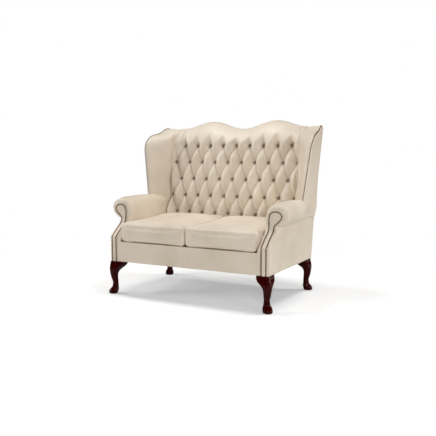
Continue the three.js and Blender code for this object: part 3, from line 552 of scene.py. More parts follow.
@dataclass(frozen=True)
class Leather:
    """Aniline-dyed upholstery hide: pigmented, lightly waxed, with a pebbled grain and soft creases."""

    name: str
    tone: str = "#E3D6C4"
    deep_tone: str = "#D8CAB6"
    # Painted shade: the dark tone that the leather takes round each button, standing in for the shade in the
    # pits
    recess_shade_tone: str = "#4B3B31"
    # Real pebbles are about a millimetre; at 3.2 mm the grain still shows in the render
    pebble: float = 3.2 * MM
    pebble_height: float = 0.35 * MM
    crease: float = 26 * MM
    crease_height: float = 1.1 * MM
    patch: float = 210 * MM
    roughness: float = 0.47
    coat: float = 0.12
    # Whether the leather is darkened by painted shade round the buttons
    uses_recess_shade: bool = False

    def make(self) -> bpy.types.Material:
        """Material whose tone drifts in patches and whose grain and creases stand up as bump, with painted
        shade in the button recesses where it is asked for.
        """
        recipe = Recipe(self.name)
        tree = recipe.tree
        color = recipe.tones(recipe.noise(self.patch, 3.0), (0.35, self.deep_tone), (0.62, self.tone))
        # Painted shade: the leather is darkened round each button by the stored share, in place of the shade
        # in the pits
        if self.uses_recess_shade:
            recess = add_node(tree, "Attribute", attribute_name="recess").outputs["Fac"]
            mixed = {0: recess, 6: color, 7: hex_to_linear(self.recess_shade_tone)}
            color = add_node(tree, "Mix", mixed, data_type="RGBA").outputs[2]
        pebbles = add_node(tree, "TexVoronoi", {"Vector": recipe.coords, "Scale": 1 / self.pebble})
        creases = recipe.noise(self.crease, 6.0, 1.2)
        grain = recipe.bump(pebbles.outputs["Distance"], 0.16, self.pebble_height)
        return recipe.finish({
            "Base Color": color,
            "Roughness": recipe.ranged(creases, self.roughness - 0.06, self.roughness + 0.08),
            "IOR": 1.46, "Coat Weight": self.coat, "Coat Roughness": 0.35,
            "Normal": recipe.bump(creases, 0.35, self.crease_height, grain),
        })


@dataclass(frozen=True)
class Mahogany:
    """French-polished mahogany: dark red wood with a faint straight figure under a clear gloss."""

    name: str = "polished mahogany"
    tone: str = "#3D0704"
    figure_tone: str = "#2E0403"
    figure: float = 7 * MM
    figure_height: float = 0.2 * MM

    def make(self) -> bpy.types.Material:
        """Material with upright figure, about twelve times longer than it is wide, under a smooth coat."""
        recipe = Recipe(self.name)
        figure = recipe.noise(self.figure, 5.0, 0.6, recipe.stretched((1.0, 1.0, 0.08)))
        return recipe.finish({
            "Base Color": recipe.tones(figure, (0.38, self.figure_tone), (0.64, self.tone)),
            "Roughness": 0.11, "IOR": 1.45, "Specular IOR Level": 0.13,
            "Normal": recipe.bump(figure, 0.05, self.figure_height),
        })


@dataclass(frozen=True)
class AgedMetal:
    """Metal with a darkened film: antique brass nails, or oiled spring steel."""

    name: str
    tone: str
    film_tone: str
    patch: float = 5 * MM
    roughness: float = 0.36

    def make(self) -> bpy.types.Material:
        """Metal whose film is thicker in patches, where it is darker and duller."""
        recipe = Recipe(self.name)
        film = recipe.noise(self.patch, 4.0)
        return recipe.finish({
            "Base Color": recipe.tones(film, (0.4, self.film_tone), (0.6, self.tone)), "Metallic": 1.0,
            "Roughness": recipe.ranged(film, self.roughness + 0.12, self.roughness - 0.06),
        })


@dataclass(frozen=True)
class Timber:
    """Sawn beech of the hidden frame: pale, straight grain, unfinished."""

    name: str = "sawn beech"
    tone: str = "#CBAA7A"
    grain_tone: str = "#B08C5C"
    grain: float = 6 * MM
    grain_height: float = 0.4 * MM

    def make(self) -> bpy.types.Material:
        """Material with long pale grain."""
        recipe = Recipe(self.name)
        grain = recipe.noise(self.grain, 4.0, coords=recipe.stretched((0.1, 1.0, 1.0)))
        return recipe.finish({
            "Base Color": recipe.tones(grain, (0.4, self.grain_tone), (0.6, self.tone)), "Roughness": 0.68,
            "IOR": 1.5, "Normal": recipe.bump(grain, 0.3, self.grain_height),
        })


@dataclass(frozen=True)
class Cloth:
    """Plain woven or felted cloth: hessian, black bottoming cloth or seat felt."""

    name: str
    tone: str
    gap_tone: str
    # Threads are drawn at 4 mm, coarser than real, so that the weave shows
    thread: float = 4 * MM
    thread_height: float = 0.5 * MM

    def make(self) -> bpy.types.Material:
        """Material with threads that cross at right angles."""
        recipe = Recipe(self.name)
        inputs = {"Vector": recipe.coords, "Scale": 1 / (self.thread * 2 * math.pi), "Distortion": 0.4}
        across, along = (
            add_node(recipe.tree, "TexWave", inputs, bands_direction=way).outputs["Fac"] for way in ("X", "Y")
        )
        weave = add_node(recipe.tree, "Math", {0: across, 1: along}, operation="MAXIMUM").outputs["Value"]
        return recipe.finish({
            "Base Color": recipe.tones(weave, (0.2, self.gap_tone), (0.8, self.tone)), "Roughness": 0.9,
            "Sheen Weight": 0.3, "Normal": recipe.bump(weave, 0.4, self.thread_height),
        })


class Palette:
    """Every finish of the settee, made once."""

    def __init__(self) -> None:
        """Makes the materials."""
        self.hide = Leather("waxed cream hide").make()
        # Cream hide with painted shade in the button recesses
        self.tufted_hide = Leather("waxed cream hide, buttoned", uses_recess_shade=True).make()
        # Painted shade: the buttons are covered in the same cream hide, drawn darker to stand in for the
        # shade in their pits
        self.button_hide = Leather("button hide", tone="#A8967F", deep_tone="#8F7D69", patch=30 * MM).make()
        self.mahogany = Mahogany().make()
        self.nails = AgedMetal("antique brass nails", "#7A5642", "#402B22").make()
        self.springs = AgedMetal("oiled spring steel", "#8A8C90", "#55575A").make()
        self.beech = Timber().make()
        self.hessian = Cloth("hessian", "#AD9468", "#7C6844").make()
        self.bottoming = Cloth("black bottoming cloth", "#252424", "#121111", 3 * MM).make()
        self.felt = Cloth("seat felt", "#8F8C87", "#7B7873", 6 * MM).make()


def dress(
    piece: bpy.types.Object,
    finish: bpy.types.Material,
    body: str,
    nodes: Sequence[str],
) -> None:
    """Gives a piece its finish and its place in the frame.

    Args:
        piece: the finished piece.
        finish: its material.
        body: the body that it rides on.
        nodes: the nodes that it replaces.
    """
    piece.data.materials.clear()
    piece.data.materials.append(finish)
    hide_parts(*nodes)
    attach(piece, body)
    LOG.info("%s: %d faces", piece.name, len(piece.data.polygons))


def dress_both(
    piece: bpy.types.Object,
    finish: bpy.types.Material,
    node: str,
    loose: bool = False,
) -> None:
    """Gives a piece on the right its mirror image on the left, and dresses the two.

    Args:
        piece: the finished piece, whose name ends in its side.
        finish: their material.
        node: name of the nodes that they replace, without the side.
        loose: whether each rides on a body of its own, named as its node.
    """
    copy = mirror_copy(piece, piece.name.replace(Side.RIGHT.value, Side.LEFT.value))
    for side, shown in ((Side.RIGHT, piece), (Side.LEFT, copy)):
        name = f"{node}_{side.value}"
        dress(shown, finish, name if loose else "frame", [name])


@dataclass(frozen=True)
class Nails:
    """Domed upholstery nails in a row."""

    radius: float
    rise: float
    pitch: float = 11 * MM

    def row(self, name: str, path: Sequence[Vector], facing: Callable[[Vector], Vector]) -> bpy.types.Object:
        """Builds a row of nails.

        Args:
            name: name of the piece.
            path: points of the line, close together.
            facing: the way out of the leather at a point.

        Returns:
            The nails as one piece.
        """
        deselect()
        bpy.ops.mesh.primitive_uv_sphere_add(segments=10, ring_count=6, radius=1.0)
        model = bpy.context.object
        pick(model)
        bpy.ops.object.mode_set(mode="EDIT")
        bpy.ops.mesh.select_all(action="SELECT")
        bpy.ops.mesh.bisect(plane_co=(0, 0, 0), plane_no=(0, 0, -1), clear_outer=True, use_fill=True)
        bpy.ops.object.mode_set(mode="OBJECT")
        model.data.transform(Matrix.Diagonal((self.radius, self.radius, self.rise, 1)))
        total = sum((b - a).length for a, b in zip(path, path[1:]))
        step = total / max(1, round(total / self.pitch))
        places = []
        travelled, target = 0.0, 0.0
        for a, b in zip(path, path[1:]):
            length = (b - a).length
            while target <= travelled + length + 1e-9 and length > 0:
                spot = a.lerp(b, (target - travelled) / length)
                turn = facing(spot).to_track_quat("Z", "Y").to_matrix().to_4x4()
                places.append(Matrix.Translation(spot) @ turn)
                target += step
            travelled += length
        repeat(model, places, name)
        smooth(model, 70)
        return model


@dataclass
class ButtonedBack:
    """Deep buttoned back pad with its covered buttons."""

    palette: Palette
    pitch: float = 96.5 * MM
    row_spacing: float = 109.2 * MM
    top_row_drop: float = 165 * MM
    row_count: int = 5
    crown: float = 46 * MM
    rear_overhang: float = 8 * MM
    columns_per_pitch: int = 36
    steps_per_row: int = 18
    roll_steps: int = 44
    margin: float = 19 * MM
    # Pitches from the middle to the outermost buttons, and how far these are drawn inwards
    edge_column: float = 4.5
    edge_draw: float = 7 * MM
    edge_radius: float = 10 * MM
    edge_depth: float = 3 * MM
    seat_radius: float = 24 * MM
    # How far the painted shade round each button reaches
    recess_shade_radius: float = 9.5 * MM
    button_radius: float = 6.4 * MM
    button_rise: float = 5.5 * MM
    button_lift: float = 1.2 * MM
    # How deep the underside of a button is, as a share of its rise
    rim_share: float = 0.45
    hidden_depth: float = 18 * MM
    hidden_drop: float = 90 * MM
    # How far the lattice strays from its even places, and how far in from the sides it starts to
    stray: float = 3 * MM
    stray_size: float = 130 * MM
    stray_margin: float = 60 * MM
    pleat_share: float = 0.62
    # Share of a row in which the face below the last row turns into upright pleats
    lower_share: float = 0.6
    # Share of the full crown on such a pleat, and how much more it is midway to the next
    lower_least: float = 0.3
    lower_gain: float = 0.5
    # Share of the roll's height at which the grooves above the top row run out
    groove_share: float = 0.66
    groove_power: float = 2.3
    # Share of the way back and share of the rise over the top roll
    roll_rows: tuple = (
        (0.0, 0.0, 0.0), (0.1, 0.045, 0.12), (0.2, 0.105, 0.24), (0.35, 0.215, 0.42), (0.5, 0.345, 0.585),
        (0.65, 0.5, 0.74), (0.78, 0.66, 0.86), (0.88, 0.8, 0.94), (0.95, 0.92, 0.985), (1.0, 1.0, 1.0),
    )
    # The same beside a wing, where the pad stands up straight before it turns back
    edge_roll_rows: tuple = (
        (0.0, 0.0, 0.0), (0.12, 0.0, 0.14), (0.25, 0.0, 0.3), (0.38, 0.01, 0.47), (0.5, 0.035, 0.62),
        (0.6, 0.11, 0.73), (0.7, 0.24, 0.83), (0.8, 0.45, 0.93), (0.9, 0.7, 0.99), (1.0, 1.0, 1.0),
    )

    def __post_init__(self) -> None:
        """Works out the lattice from the frame."""
        low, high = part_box("back_pad")
        self.roll = Curve(self.roll_rows)
        self.edge_roll = Curve(self.edge_roll_rows)
        self.half = high.x
        self.low = low.z
        self.top_row = PLAN.crest - self.top_row_drop
        self.step = self.pitch / self.columns_per_pitch
        self.inner = int(self.half / self.step)
        self.columns = 2 * (self.inner + 1)
        self.drop = self.row_spacing / self.steps_per_row
        self.lower_steps = int((self.top_row - self.low) / self.drop) + 1
        self.rows = self.lower_steps + self.roll_steps
        self.out = Vector((0, -math.cos(PLAN.tuft_rake), math.sin(PLAN.tuft_rake)))

    def swell(self, x: float, z: float) -> float:
        """Share of the full crown on the buttoned face.

        Args:
            x: place across the back.
            z: height on the plane of the buttons.

        Returns:
            0 at a button, a low share along a pleat and 1 in the middle of a diamond.
        """
        bottom_row = self.top_row - (self.row_count - 1) * self.row_spacing
        if z < bottom_row:
            upright = abs(math.sin(math.pi * x / self.pitch))
            at_row = self.pleat_rise(upright)
            share = eased((bottom_row - z) / (self.lower_share * self.row_spacing))
            return at_row + (self.lower_least + self.lower_gain * upright - at_row) * share
        rise = (z - self.top_row) / (2 * self.row_spacing)
        a = abs(math.sin(math.pi * (x / self.pitch + rise)))
        b = abs(math.sin(math.pi * (x / self.pitch - rise)))
        return (1 - self.pleat_share) * a * b + self.pleat_share * (a + b) / 2

    def pleat_rise(self, away: float) -> float:
        """Share of the full crown beside a pleat, from 0 on it to 1 midway to the next."""
        return (1 - self.pleat_share) * away * away + self.pleat_share * away

    def groove(self, x: float, up: float) -> float:
        """Share of the full crown on the roll, where a groove runs up from each button of the top row.

        Args:
            x: place across the back.
            up: share of the roll's height.

        Returns:
            0 at a button and 1 beside and above the grooves.
        """
        left = 1 - up / self.groove_share
        if left <= 0:
            return 1.0
        off = abs(x / self.pitch - round(x / self.pitch)) * 2
        away = math.sin(math.pi / 2 * min(1.0, off / left))
        return 1 - left**self.groove_power * (1 - self.pleat_rise(away))

    def to_button(self, x: float, z: float) -> float:
        """Distance on the face to the nearest button.

        Args:
            x: place across the lattice.
            z: height on the plane of the buttons.

        Returns:
            The distance.
        """
        row = min(max(round((self.top_row - z) / self.row_spacing), 0), self.row_count - 1)
        best = 1.0
        for near in (row - 1, row, row + 1):
            if 0 <= near < self.row_count:
                shift = 0.5 if near % 2 else 0.0
                column = round(x / self.pitch - shift) + shift
                dz = z - (self.top_row - near * self.row_spacing)
                best = min(best, math.hypot(x - column * self.pitch, dz))
        return best

    def drawn_x(self, x: float, z: float) -> float:
        """Place across the back of a point of the lattice.

        Args:
            x: place across the even lattice.
            z: height on the plane of the buttons.

        Returns:
            The place after the outermost buttons are drawn inwards and the edges outwards.
        """
        outer = self.edge_column * self.pitch
        inward = self.edge_draw * eased((abs(x) - outer + self.pitch / 2) / (self.pitch / 2))
        outward = self.edge_draw + PLAN.inside_x(z) - PLAN.half_seat
        outward *= eased((abs(x) - outer) / (self.half - outer))
        stray = wobble(Vector((x, 0, z)), self.stray, self.stray_size)
        stray *= eased((self.half - abs(x)) / self.stray_margin)
        return x + math.copysign(outward - inward, x) + stray

    def on_face(self, x: float, z: float) -> tuple[Vector, Vector]:
        """Point of the buttoned face, and the point of the side edge at its level.

        Args:
            x: place across the lattice.
            z: height on the plane of the buttons.

        Returns:
            The two points.
        """
        near = self.to_button(x, z)
        point = Vector((x, PLAN.tuft_y(z), z))
        point += self.out * self.crown * self.swell(x, z) * eased(near / self.seat_radius)
        point += self.out * wobble(point, 1.6 * MM, 60 * MM) * eased(near / (3 * self.seat_radius))
        return point, Vector((x, PLAN.corner_y(z), z))

    def on_roll(self, x: float, turn: float) -> tuple[Vector, Vector]:
        """Point of the top roll, and the point of the side edge beside it.

        Args:
            x: place across the lattice.
            turn: share of the way from the top row of buttons to the rear.

        Returns:
            The two points.
        """
        back, up = self.roll.row(turn)
        start = Vector((x, PLAN.tuft_y(self.top_row), self.top_row)) + self.out * self.crown
        crest = PLAN.crest_z(x) - self.edge_depth * (1 - rounded(self.half - abs(x), self.edge_radius))
        rear = PLAN.back_y(PLAN.crest_z(x)) + self.rear_overhang
        point = Vector((x, start.y + (rear - start.y) * back, start.z + (crest - start.z) * up))
        near = self.to_button(x, self.top_row + (crest - self.top_row) * up)
        point -= self.out * self.crown * (1 - self.groove(x, up) * eased(near / self.seat_radius))
        point.z += wobble(point, 1.5 * MM, 80 * MM) * eased(near / (3 * self.seat_radius)) * (1 - up)
        back, up = self.edge_roll.row(turn)
        z = self.top_row + (crest - self.top_row) * up
        return point, Vector((x, PLAN.corner_y(z) + (rear - PLAN.corner_y(z)) * back, z))

    def place(self, u: float, v: float) -> Vector:
        """Point of the leather.

        Args:
            u: share across the back.
            v: share from the seat up the face and over the roll.

        Returns:
            The point.
        """
        k = round(u * self.columns) - self.columns // 2
        x = math.copysign(self.half, k) if abs(k) > self.inner else k * self.step
        j = round(v * self.rows)
        turn = max(0.0, (j - self.lower_steps) / self.roll_steps)
        if turn > 0:
            point, side = self.on_roll(x, turn)
        else:
            point, side = self.on_face(x, max(self.low, self.top_row - (self.lower_steps - j) * self.drop))
        return point.lerp(side, eased(1 - (self.half - abs(x)) / (self.margin * (1 + 1.5 * turn))))

    def fold_pleats(self, pad: bpy.types.Object) -> None:
        """Splits each face along the pleat nearest to it.

        Args:
            pad: the sheet of the pad.
        """
        for family, quads in (("rising", "FIXED"), ("falling", "FIXED_ALTERNATE")):
            pick(pad)
            for face in pad.data.polygons:
                centre = face.center
                rise = (centre.z - self.top_row) / (2 * self.row_spacing)
                column = centre.x / self.pitch
                off = [abs(s - round(s)) for s in (column + rise, column - rise)]
                face.select = len(face.vertices) == 4 and (off[0] < off[1]) == (family == "falling")
            bpy.ops.object.mode_set(mode="EDIT")
            bpy.ops.mesh.quads_convert_to_tris(quad_method=quads)
            bpy.ops.object.mode_set(mode="OBJECT")

    def close_back(self, pad: bpy.types.Object) -> None:
        """Closes the pad with a flat hidden back.

        Args:
            pad: the sheet of the pad.
        """
        pick(pad)
        bpy.ops.object.mode_set(mode="EDIT")
        bpy.ops.mesh.select_all(action="DESELECT")
        bpy.ops.mesh.select_non_manifold()
        bpy.ops.mesh.extrude_edges_move()
        bpy.ops.object.mode_set(mode="OBJECT")
        for point in pad.data.vertices:
            if point.select:
                x = point.co.x
                z = min(point.co.z, PLAN.crest_z(x) - self.hidden_drop)
                point.co = (x, PLAN.tuft_y(z) + self.hidden_depth, z)
        bpy.ops.object.mode_set(mode="EDIT")
        bpy.ops.mesh.edge_face_add()
        bpy.ops.mesh.quads_convert_to_tris()
        bpy.ops.object.mode_set(mode="OBJECT")

    def store_recess_shade(self, pad: bpy.types.Object) -> None:
        """Keeps, at each point of the pad, how far it lies in a button recess, for the painted shade that
        darkens the leather there.
        """
        recess = pad.data.attributes.new("recess", "FLOAT", "POINT")
        for k, point in enumerate(pad.data.vertices):
            near = self.to_button(point.co.x, point.co.z)
            recess.data[k].value = 1 - eased((near - 0.55 * self.recess_shade_radius) / (0.9 * self.recess_shade_radius))

    def make_pad(self) -> None:
        """Builds the buttoned pad, from the seat to the rear of the top roll."""
        pad = sheet("back_pad_leather", self.columns, self.rows, self.place)
        outward(pad, self.out)
        self.fold_pleats(pad)
        # Stores the share of painted shade round the buttons, for the leather's tone
        self.store_recess_shade(pad)
        for point in pad.data.vertices:
            point.co.x = self.drawn_x(point.co.x, point.co.z)
        self.close_back(pad)
        smooth(pad, 75)
        dress(pad, self.palette.tufted_hide, "frame", ["back_pad"])

    def button_places(self, row: int) -> list[Matrix]:
        """Places of the buttons of a row, on the plane of the buttons.

        Args:
            row: number of the row, from 0 at the top.

        Returns:
            The places, from the left to the right.
        """
        z = self.top_row - row * self.row_spacing
        shift = 0.5 if row % 2 else 0.0
        count = int(self.edge_column) + 1
        xs = [(k + shift) * self.pitch for k in range(-count, count)]
        xs = [self.drawn_x(x, z) for x in xs if abs(x) <= self.edge_column * self.pitch]
        return [Matrix.Translation((x, PLAN.tuft_y(z), z)) for x in xs]

    def make_buttons(self, row: int) -> None:
        """Builds one row of leather-covered buttons, each a low dome with a turned-in rim.

        Args:
            row: number of the row, from 0 at the top.
        """
        deselect()
        bpy.ops.mesh.primitive_uv_sphere_add(segments=20, ring_count=12, radius=self.button_radius)
        buttons = bpy.context.object
        for point in buttons.data.vertices:
            height = point.co.z / self.button_radius
            dome = height if height > 0 else self.rim_share * height
            point.co.z = self.button_rise * dome + self.button_lift
        buttons.data.transform(Matrix.Rotation(math.pi / 2 - PLAN.tuft_rake, 4, "X"))
        repeat(buttons, self.button_places(row), f"covered_buttons_row_{row + 1}")
        smooth(buttons)
        # The buttons take the darker hide, painted shade for their pits
        dress(buttons, self.palette.button_hide, "frame", [f"button_row_{row + 1}"])

    def build(self) -> None:
        """Builds the pad and its buttons."""
        self.make_pad()
        for row in range(self.row_count):
            self.make_buttons(row)


# Height, and how far the front of the arm lies behind the front of the settee there
SCROLL = Curve(
    (
        (0.355, 0.0), (0.363, 0.010), (0.394, 0.045), (0.421, 0.082), (0.440, 0.098), (0.462, 0.1035),
        (0.480, 0.104),
    )
)

# Nail line round the right arm facing: height, inner side and outer side
NAIL_SIDES = Curve(
    (
        (0.203, 0.480, 0.508), (0.355, 0.480, 0.508), (0.400, 0.4795, 0.508), (0.440, 0.4795, 0.509),
        (0.460, 0.480, 0.5105), (0.4755, 0.4795, 0.525), (0.491, 0.4777, 0.541), (0.506, 0.4795, 0.5512),
        (0.519, 0.4825, 0.5535), (0.530, 0.4885, 0.5485), (0.5375, 0.4985, 0.5375), (0.5425, 0.5185, 0.5185),
    )
)


def scroll_y(z: float) -> float:
    """Front of the arm at a height: upright, then swept back to the roll."""
    return PLAN.front + SCROLL.at(z)


@dataclass
class Arm:
    """One scroll arm: its roll and inside wall, facing, outside panel and nails."""

    palette: Palette
    # Right arm's section from the seat over the roll to its tail, with the nail line where each point starts
    section_rows: tuple = (
        (0.464, 0.203, 0.480, 0.203), (0.464, 0.318, 0.480, 0.318), (0.4525, 0.330, 0.480, 0.336),
        (0.4522, 0.400, 0.4795, 0.400), (0.4516, 0.450, 0.4783, 0.450), (0.4518, 0.486, 0.4778, 0.490),
        (0.4565, 0.531, 0.4825, 0.519), (0.467, 0.5575, 0.490, 0.5325), (0.489, 0.573, 0.503, 0.5405),
        (0.515, 0.5775, 0.5185, 0.5425), (0.540, 0.5765, 0.5345, 0.539), (0.562, 0.567, 0.5475, 0.5315),
        (0.582, 0.549, 0.5535, 0.519), (0.5905, 0.524, 0.5512, 0.506), (0.586, 0.500, 0.541, 0.491),
        (0.570, 0.477, 0.526, 0.4755), (0.548, 0.461, 0.5135, 0.463), (0.524, 0.4575, 0.5105, 0.456),
    )
    # How far the roll still stands out beyond the body, from the front edge backwards
    taper_rows: tuple = (
        (0.0, 1.0), (0.38, 1.0), (0.42, 0.89), (0.45, 0.73), (0.50, 0.50), (0.54, 0.34), (0.60, 0.20),
        (0.66, 0.13), (0.76, 0.07),
    )
    # How much the roll's top and its base rise, from the front edge backwards
    rise_rows: tuple = (
        (0.10, 0.0), (0.18, 0.008), (0.26, 0.010), (0.40, 0.008), (0.53, -0.001), (0.76, -0.004),
    )
    base_rows: tuple = ((0.10, 0.0), (0.25, -0.002), (0.40, 0.002), (0.54, 0.006), (0.76, 0.011))
    # Middle of the roll's section, the height from which it rises and how far above that it rises in full
    middle: tuple = (0.52, 0.0, 0.51)
    rise_start: float = 0.44
    rise_span: float = 0.13
    # How far behind the front the rise and the unevenness start, and over what length they set in
    rise_setback: float = 0.12
    uneven_setback: float = 0.11
    sets_in: float = 0.05
    around: int = 96
    cap_steps: int = 12
    length_steps: int = 60
    lip: float = 24 * MM
    low_lip: float = 3 * MM
    # Height above the border over which the lip grows, and the room left for the outside back
    lip_rise: float = 30 * MM
    rear_room: float = 4 * MM
    facing_dome: float = 2.2 * MM
    # Outer nail line's place across, where it starts and where its loop ends
    nail_x: float = 0.508
    nail_low: float = 0.207
    nail_high: float = 0.5425
    panel_top: float = 0.464
    # How long and how deep the outside panel's front corner is, as shares of a round corner
    corner_length: float = 0.8
    corner_depth: float = 0.6
    nails: Nails = Nails(4.6 * MM, 3.2 * MM)

    def __post_init__(self) -> None:
        """Turns the rows into curves, by distance round the section."""
        rows = self.section_rows
        steps = [math.hypot(b[0] - a[0], b[1] - a[1]) for a, b in zip(rows, rows[1:])]
        self.section = Curve([(sum(steps[:k]) / sum(steps), *row) for k, row in enumerate(rows)])
        self.taper = Curve(self.taper_rows)
        self.rise = Curve(self.rise_rows)
        self.base = Curve(self.base_rows)

    def place(self, u: float, v: float) -> Vector:
        """Point of the arm's leather.

        Args:
            u: share round the section, from the seat over the roll to its tail.
            v: share from the nail line over the front edge to the rear.

        Returns:
            The point.
        """
        x, z, nail_x, nail_z = self.section.row(u)
        start = scroll_y(nail_z)
        step = v * (self.cap_steps + self.length_steps)
        lip = self.low_lip + (self.lip - self.low_lip) * eased((z - PLAN.border_top) / self.lip_rise)
        if step <= self.cap_steps:
            turn = step / self.cap_steps * math.pi / 2
            out, back = math.sin(turn), 1 - math.cos(turn)
            point = Vector((nail_x + (x - nail_x) * out, start + lip * back, nail_z + (z - nail_z) * out))
        else:
            share = (step - self.cap_steps) / self.length_steps
            end = PLAN.back_y(z) - self.rear_room
            point = Vector((x, start + lip + (end - start - lip) * share, z))
        setback = point.y - PLAN.front
        share = min(max(setback / PLAN.base_depth, 0.0), 1.0)
        side = PLAN.half_body + (PLAN.rear_x(z) - PLAN.half_body) * eased(share / 0.9)
        if point.x > side:
            point.x = side + (point.x - side) * self.taper.at(setback)
        if point.z > self.rise_start:
            up = eased((point.z - self.rise_start) / self.rise_span)
            level = self.base.at(setback) * (1 - up) + self.rise.at(setback) * up
            point.z += level * eased((setback - self.rise_setback) / self.sets_in)
        away = Vector((point.x - self.middle[0], 0, point.z - self.middle[2])).normalized()
        uneven = wobble(point, 1.2 * MM, 70 * MM)
        return point + away * uneven * eased((setback - self.uneven_setback) / self.sets_in)

    def facing_place(self, u: float, v: float) -> Vector:
        """Point of the facing between its nail lines, softly domed.

        Args:
            u: share from the inner nail line to the outer one.
            v: share from the leg to the top of the loop.

        Returns:
            The point.
        """
        z = self.nail_high - (self.nail_high - self.section_rows[0][1]) * (1 - v) ** 1.6
        inner, outer = NAIL_SIDES.row(z)
        dome = 1 * MM + self.facing_dome * (1 - (2 * u - 1) ** 2)
        return Vector((inner + (outer - inner) * u, scroll_y(z) - dome, z))

    def panel_place(self, u: float, v: float) -> Vector:
        """Point of the outside panel, which is tucked under the roll.

        Args:
            u: share from the outer nail line round the corner to the rear.
            v: share from the leg upwards.

        Returns:
            The point.
        """
        z = PLAN.leg_top + (self.panel_top - PLAN.leg_top) * v
        start, rear = scroll_y(z), PLAN.back_y(z)
        radius = PLAN.half_body - self.nail_x
        depth = radius * self.corner_depth
        corner = math.pi / 2 * radius * self.corner_length
        length = corner + rear - start - radius
        along = u**1.6 * length
        if along < corner:
            turn = along / corner * math.pi / 2
            point = Vector((self.nail_x + radius * math.sin(turn), start + depth * (1 - math.cos(turn)), z))
        else:
            point = Vector((PLAN.half_body, min(start + depth + (along - corner), rear - 1 * MM), z))
        share = min(max((point.y - start) / (rear - start), 0.0), 1.0)
        crown = (PLAN.rear_x(z) - PLAN.half_body) * eased(share / 0.9)
        tuck = 3 * MM * (1 - rounded(z - PLAN.leg_top, 4 * MM))
        tuck += 2 * MM * (1 - rounded(rear - point.y, 4 * MM))
        point.x += crown - tuck + wobble(point, 0.8 * MM, 120 * MM)
        return point

    def nail_path(self) -> list[Vector]:
        """Line of the nails up the inner side, round the loop and down the outer side."""
        tall, steps = self.nail_high - self.nail_low, 160
        levels = [self.nail_low + tall * (1 - (1 - k / steps) ** 2) for k in range(steps + 1)]
        inner, outer = (
            [Vector((NAIL_SIDES.row(z)[side], scroll_y(z) - 2 * MM, z)) for z in levels] for side in (0, 1)
        )
        return inner + outer[-2::-1]

    def nail_way(self, point: Vector) -> Vector:
        """Way out of the facing at a point of the nail line."""
        reach = 2 * MM
        return Vector((0, -1, (scroll_y(point.z + reach) - scroll_y(point.z - reach)) / (2 * reach)))

    def build(self) -> None:
        """Builds both arms; the left one is the right one's mirror image."""
        hide = self.palette.hide
        nails = self.nails.row("arm_nails_right", self.nail_path(), self.nail_way)
        steps = self.cap_steps + self.length_steps
        pad = cover("arm_leather_right", self.around, steps, self.place, Vector((0, 0, 1)))
        facing = cover("arm_facing_leather_right", 10, 90, self.facing_place, Vector((0, -1, 0)))
        panel = cover("outside_arm_leather_right", 70, 40, self.panel_place, Vector((1, 0, 0)))
        dress_both(pad, hide, "arm_pad")
        dress_both(facing, hide, "arm_facing")
        dress_both(panel, hide, "outside_arm")
        dress_both(nails, self.palette.nails, "arm_nail_trim")


